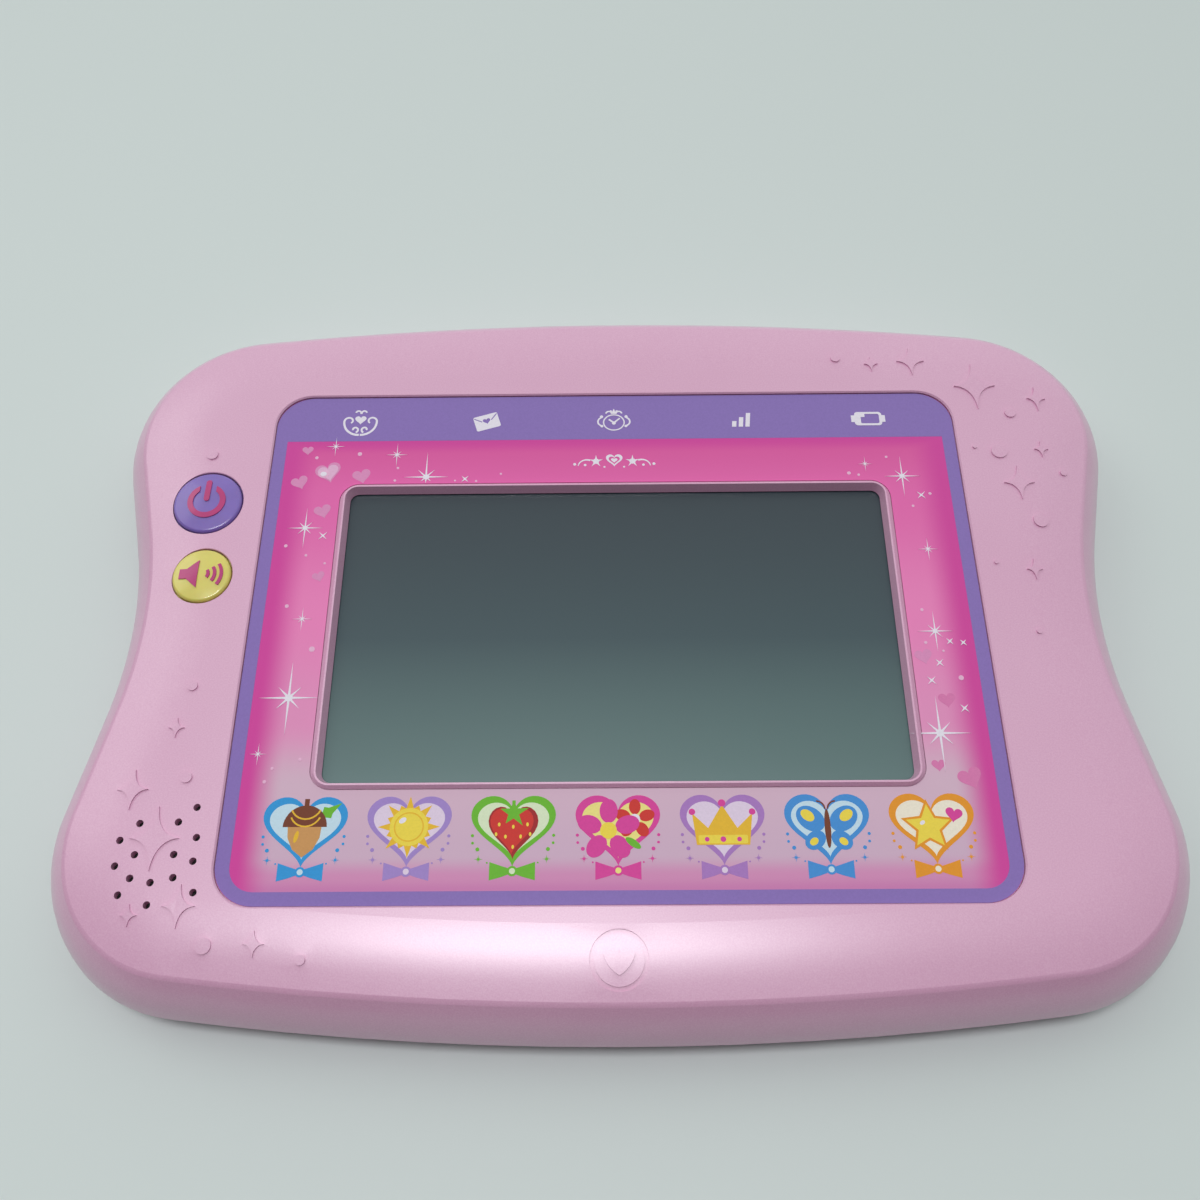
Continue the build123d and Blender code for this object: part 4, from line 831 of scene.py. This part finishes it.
# %% [markdown]
# ## Moulded plastics and rubbers
#
# Most of the other pieces are injection moulded. What tells them apart is how the steel mould was
# finished: polished for the two buttons, spark-eroded for the inner parts. So one recipe makes them all,
# and each takes its own colour, gloss and depth of texture.

# %% Moulded plastics
SPREAD = 1.5                # mm that light wanders inside a milky plastic


def moulded(name, colour, roughness, tooth, depth, ior=1.5, coat=0.0, glow=0.0):
    """A moulding: tooth and depth of its texture in millimetres; glow is light that spreads inside it."""
    material, tree = new_material(name)
    place = add(tree, "TexCoord").outputs["Object"]
    texture = add(tree, "TexNoise", {"Scale": grain(tooth), "Detail": 3.0}, {"Vector": place})
    shade = add(tree, "MixRGB", {"blend_type": "MULTIPLY", "Color1": linear(colour),
                                 "Color2": linear("#E6E6E6")}, {"Fac": texture})
    bump = add(tree, "Bump", {"Strength": 0.5, "Distance": depth * MM}, {"Height": texture})
    shader = add(tree, "BsdfPrincipled",
                 {"Roughness": roughness, "IOR": ior, "Coat Weight": coat, "Coat Roughness": 0.06,
                  "Subsurface Weight": glow, "Subsurface Scale": SPREAD * MM},
                 {"Base Color": shade, "Normal": bump})
    add(tree, "OutputMaterial", {}, {"Surface": shader})
    return material


# %% [markdown]
# ## Metals
#
# Screws, cans, springs and the speaker's basket are sheet or wire. Rolling and drawing leave fine lines,
# and plating half fills them, so each metal has a noise that is stretched one way, and the same noise
# varies its roughness. Real lines are a few hundredths of a millimetre apart; these are drawn as coarse
# as they need to be to show.

# %% Metals
def drawn_metal(name, colour, roughness, line, stretch):
    """A metal with lines this many millimetres apart and this many times longer, along X."""
    material, tree = new_material(name)
    place = add(tree, "TexCoord").outputs["Object"]
    along = add(tree, "Mapping", {"Scale": (1 / stretch, 1, 1)}, {"Vector": place})
    lines = add(tree, "TexNoise", {"Scale": grain(line), "Detail": 2.0}, {"Vector": along})
    rough = add(tree, "MapRange", {"To Min": roughness * 0.8, "To Max": roughness * 1.25}, {"Value": lines})
    shade = add(tree, "MixRGB", {"blend_type": "MULTIPLY", "Color1": linear(colour),
                                 "Color2": linear("#D9D9D9")}, {"Fac": lines})
    bump = add(tree, "Bump", {"Strength": 0.25, "Distance": 0.01 * MM}, {"Height": lines})
    shader = add(tree, "BsdfPrincipled", {"Metallic": 1.0},
                 {"Base Color": shade, "Roughness": rough, "Normal": bump})
    add(tree, "OutputMaterial", {}, {"Surface": shader})
    return material


# %% [markdown]
# ## Boards, flex, cloth, paper and cells
#
# The inside is seen only when the case is opened, but each piece still gets its own finish: green solder
# mask with copper lines under it, amber flex with fine tracks, woven cloth behind the sound holes, a
# paper cone, and cells in a two-tone jacket. Stripes, weave and tracks are regular, so a wave or a brick
# pattern does them better than noise.

# %% Banded finishes
WAVE_TURN = 20              # radians of the wave texture for each unit of its scaled place


def band(width):
    """The wave texture's scale for bands this many millimetres wide."""
    return grain(width) / WAVE_TURN * pi


def striped(name, first, second, width, direction, roughness, ior=1.5, metallic=0.0):
    """Two colours in soft bands this many millimetres wide."""
    material, tree = new_material(name)
    place = add(tree, "TexCoord").outputs["Object"]
    bands = add(tree, "TexWave", {"Scale": band(width), "bands_direction": direction}, {"Vector": place})
    colour = add(tree, "MixRGB", {"Color1": linear(first), "Color2": linear(second)}, {"Fac": bands})
    shader = add(tree, "BsdfPrincipled", {"Roughness": roughness, "IOR": ior, "Metallic": metallic},
                 {"Base Color": colour})
    add(tree, "OutputMaterial", {}, {"Surface": shader})
    return material


# %% Circuit board
TRACK_WIDTH = 0.25
TRACK_PITCH = (9, 2.2)      # mm between the tracks across and along the board


def solder_mask():
    """Green lacquer over glass cloth; copper under it shows as paler lines."""
    material, tree = new_material("green_board")
    place = add(tree, "TexCoord").outputs["Object"]
    tracks = add(tree, "TexBrick",
                 {"Scale": 1.0, "Mortar Size": TRACK_WIDTH * MM, "Brick Width": TRACK_PITCH[0] * MM,
                  "Row Height": TRACK_PITCH[1] * MM, "Color1": linear("#175F3A"),
                  "Color2": linear("#1B6A41"), "Mortar": linear("#3E9A5F")},
                 {"Vector": place})
    shader = add(tree, "BsdfPrincipled",
                 {"Roughness": 0.28, "IOR": 1.55, "Coat Weight": 0.3, "Coat Roughness": 0.15},
                 {"Base Color": tracks})
    add(tree, "OutputMaterial", {}, {"Surface": shader})
    return material


# %% Cloth
THREAD = 0.6                # mm across a thread


def grille_cloth():
    """Plain-woven black cloth: two sets of threads that cross."""
    material, tree = new_material("black_cloth")
    place = add(tree, "TexCoord").outputs["Object"]
    threads = [add(tree, "TexWave", {"Scale": band(THREAD), "bands_direction": axis}, {"Vector": place})
               for axis in "XY"]
    weave = add(tree, "Math", {"operation": "MULTIPLY"}, {0: threads[0].outputs["Fac"],
                                                          1: threads[1].outputs["Fac"]})
    colour = add(tree, "MixRGB", {"Color1": linear("#0C0C0D"), "Color2": linear("#2A292B")}, {"Fac": weave})
    bump = add(tree, "Bump", {"Strength": 0.6, "Distance": 0.1 * MM}, {"Height": weave})
    shader = add(tree, "BsdfPrincipled", {"Roughness": 0.9, "Sheen Weight": 0.2},
                 {"Base Color": colour, "Normal": bump})
    add(tree, "OutputMaterial", {}, {"Surface": shader})
    return material


# %% [markdown]
# ## Dress every CAD piece
#
# The record says which finish each node takes. One material is made for each finish and given to all the
# nodes that share it, as one batch of plastic or one coil of steel would be in a factory.

# %% Finishes that have their own recipe
FINISHES = {
    "pearl_pink_abs": pearl_abs(),
    "printed_film": printed_film(),
    "touch_glass": touch_film(),
    "lcd_glass": display_glass(),
    "green_board": solder_mask(),
    "black_cloth": grille_cloth(),
}

# %% Mouldings, sheet and paper
# each: colour, roughness, tooth and depth of its texture in mm, then IOR, coat and glow where it has them
MOULDINGS = {
    # pressed polyester sheet: nearly smooth, so it has a milky sheen
    "membrane_pet": ("#D8DCDA", 0.35, 1.5, 0.004, 1.57),
    # open-cell foam: its pores swallow the light, so it is a dead black
    "black_foam": ("#1A1A1B", 0.95, 0.4, 0.15),
    # ABS off a spark-eroded mould: a fine even dullness
    "white_abs": ("#E2E1DC", 0.5, 0.3, 0.02, 1.54),
    # ABS off a polished mould: a bright highlight that wavers a little, and a soft depth of colour
    "purple_abs": ("#8B70C4", 0.24, 6.0, 0.006, 1.54, 0.25, 0.1),
    "yellow_abs": ("#EBDD72", 0.24, 6.0, 0.006, 1.54, 0.3, 0.1),
    # the buttons' signs, moulded in and polished with them
    "pink_inlay": ("#C8387F", 0.26, 6.0, 0.004, 1.54, 0.2),
    # cured silicone: light wanders far inside it, so it looks waxy
    "white_silicone": ("#DAD9D3", 0.55, 0.8, 0.01, 1.41, 0.0, 0.5),
    # chips in filled epoxy: a stony grey-black
    "black_epoxy": ("#222224", 0.5, 0.15, 0.02, 1.55),
    # nylon: cream coloured and a little translucent at its thin walls
    "connector_nylon": ("#E5E0CF", 0.45, 0.5, 0.01, 1.53, 0.0, 0.2),
    # PVC drawn round the wire: smooth with a long wave
    "wire_pvc": ("#C22424", 0.4, 2.0, 0.01, 1.53),
    # soft clear feet: cloudy, dull from their own bloom
    "clear_rubber": ("#C9BCC3", 0.6, 0.3, 0.02, 1.49, 0.0, 0.2),
    # felted paper of the cone: fibres make it dull and uneven
    "speaker_paper": ("#262425", 0.9, 0.5, 0.06),
}
FINISHES |= {name: moulded(name, *values) for name, values in MOULDINGS.items()}

# %% Sheet metal, screws, flex and cells
# each: colour, roughness, mm between its lines, how many times longer they are
METALS = {
    # tinned steel sheet: pale, with rolling lines down its length
    "steel_can": ("#C4C6C8", 0.32, 0.3, 12),
    # drawn aluminium: bright with short lines
    "capacitor_can": ("#C2C4C8", 0.3, 0.2, 8),
    # nickel plate on spring wire: the warmest and shiniest
    "nickel_steel": ("#CFCBC2", 0.18, 0.2, 6),
    # bare stamped steel: darker and duller
    "speaker_steel": ("#8C8B88", 0.38, 0.4, 5),
    # zinc plate: cool, with fine short scratches
    "zinc_screw": ("#B9BABC", 0.28, 0.15, 3),
}
FINISHES |= {name: drawn_metal(name, *values) for name, values in METALS.items()}
# amber polyimide, with its tracks as paler lines
FINISHES["flex_polyimide"] = striped("flex_polyimide", "#B06A1E", "#D0913B", 0.8, "X", 0.3, 1.6)
# printed shrink sleeve on a cell: black into copper, with a metal glint
FINISHES["cell_jacket"] = striped("cell_jacket", "#2A2B2E", "#A8793B", 110, "X", 0.3, 1.5, 0.6)
print("finishes:", len(FINISHES))

# %% Assign materials
for part in frame["record"]["subparts"]:
    node = frame["nodes"][part["node"]]
    node.data.materials.clear()
    node.data.materials.append(FINISHES[part["material_slot"]])
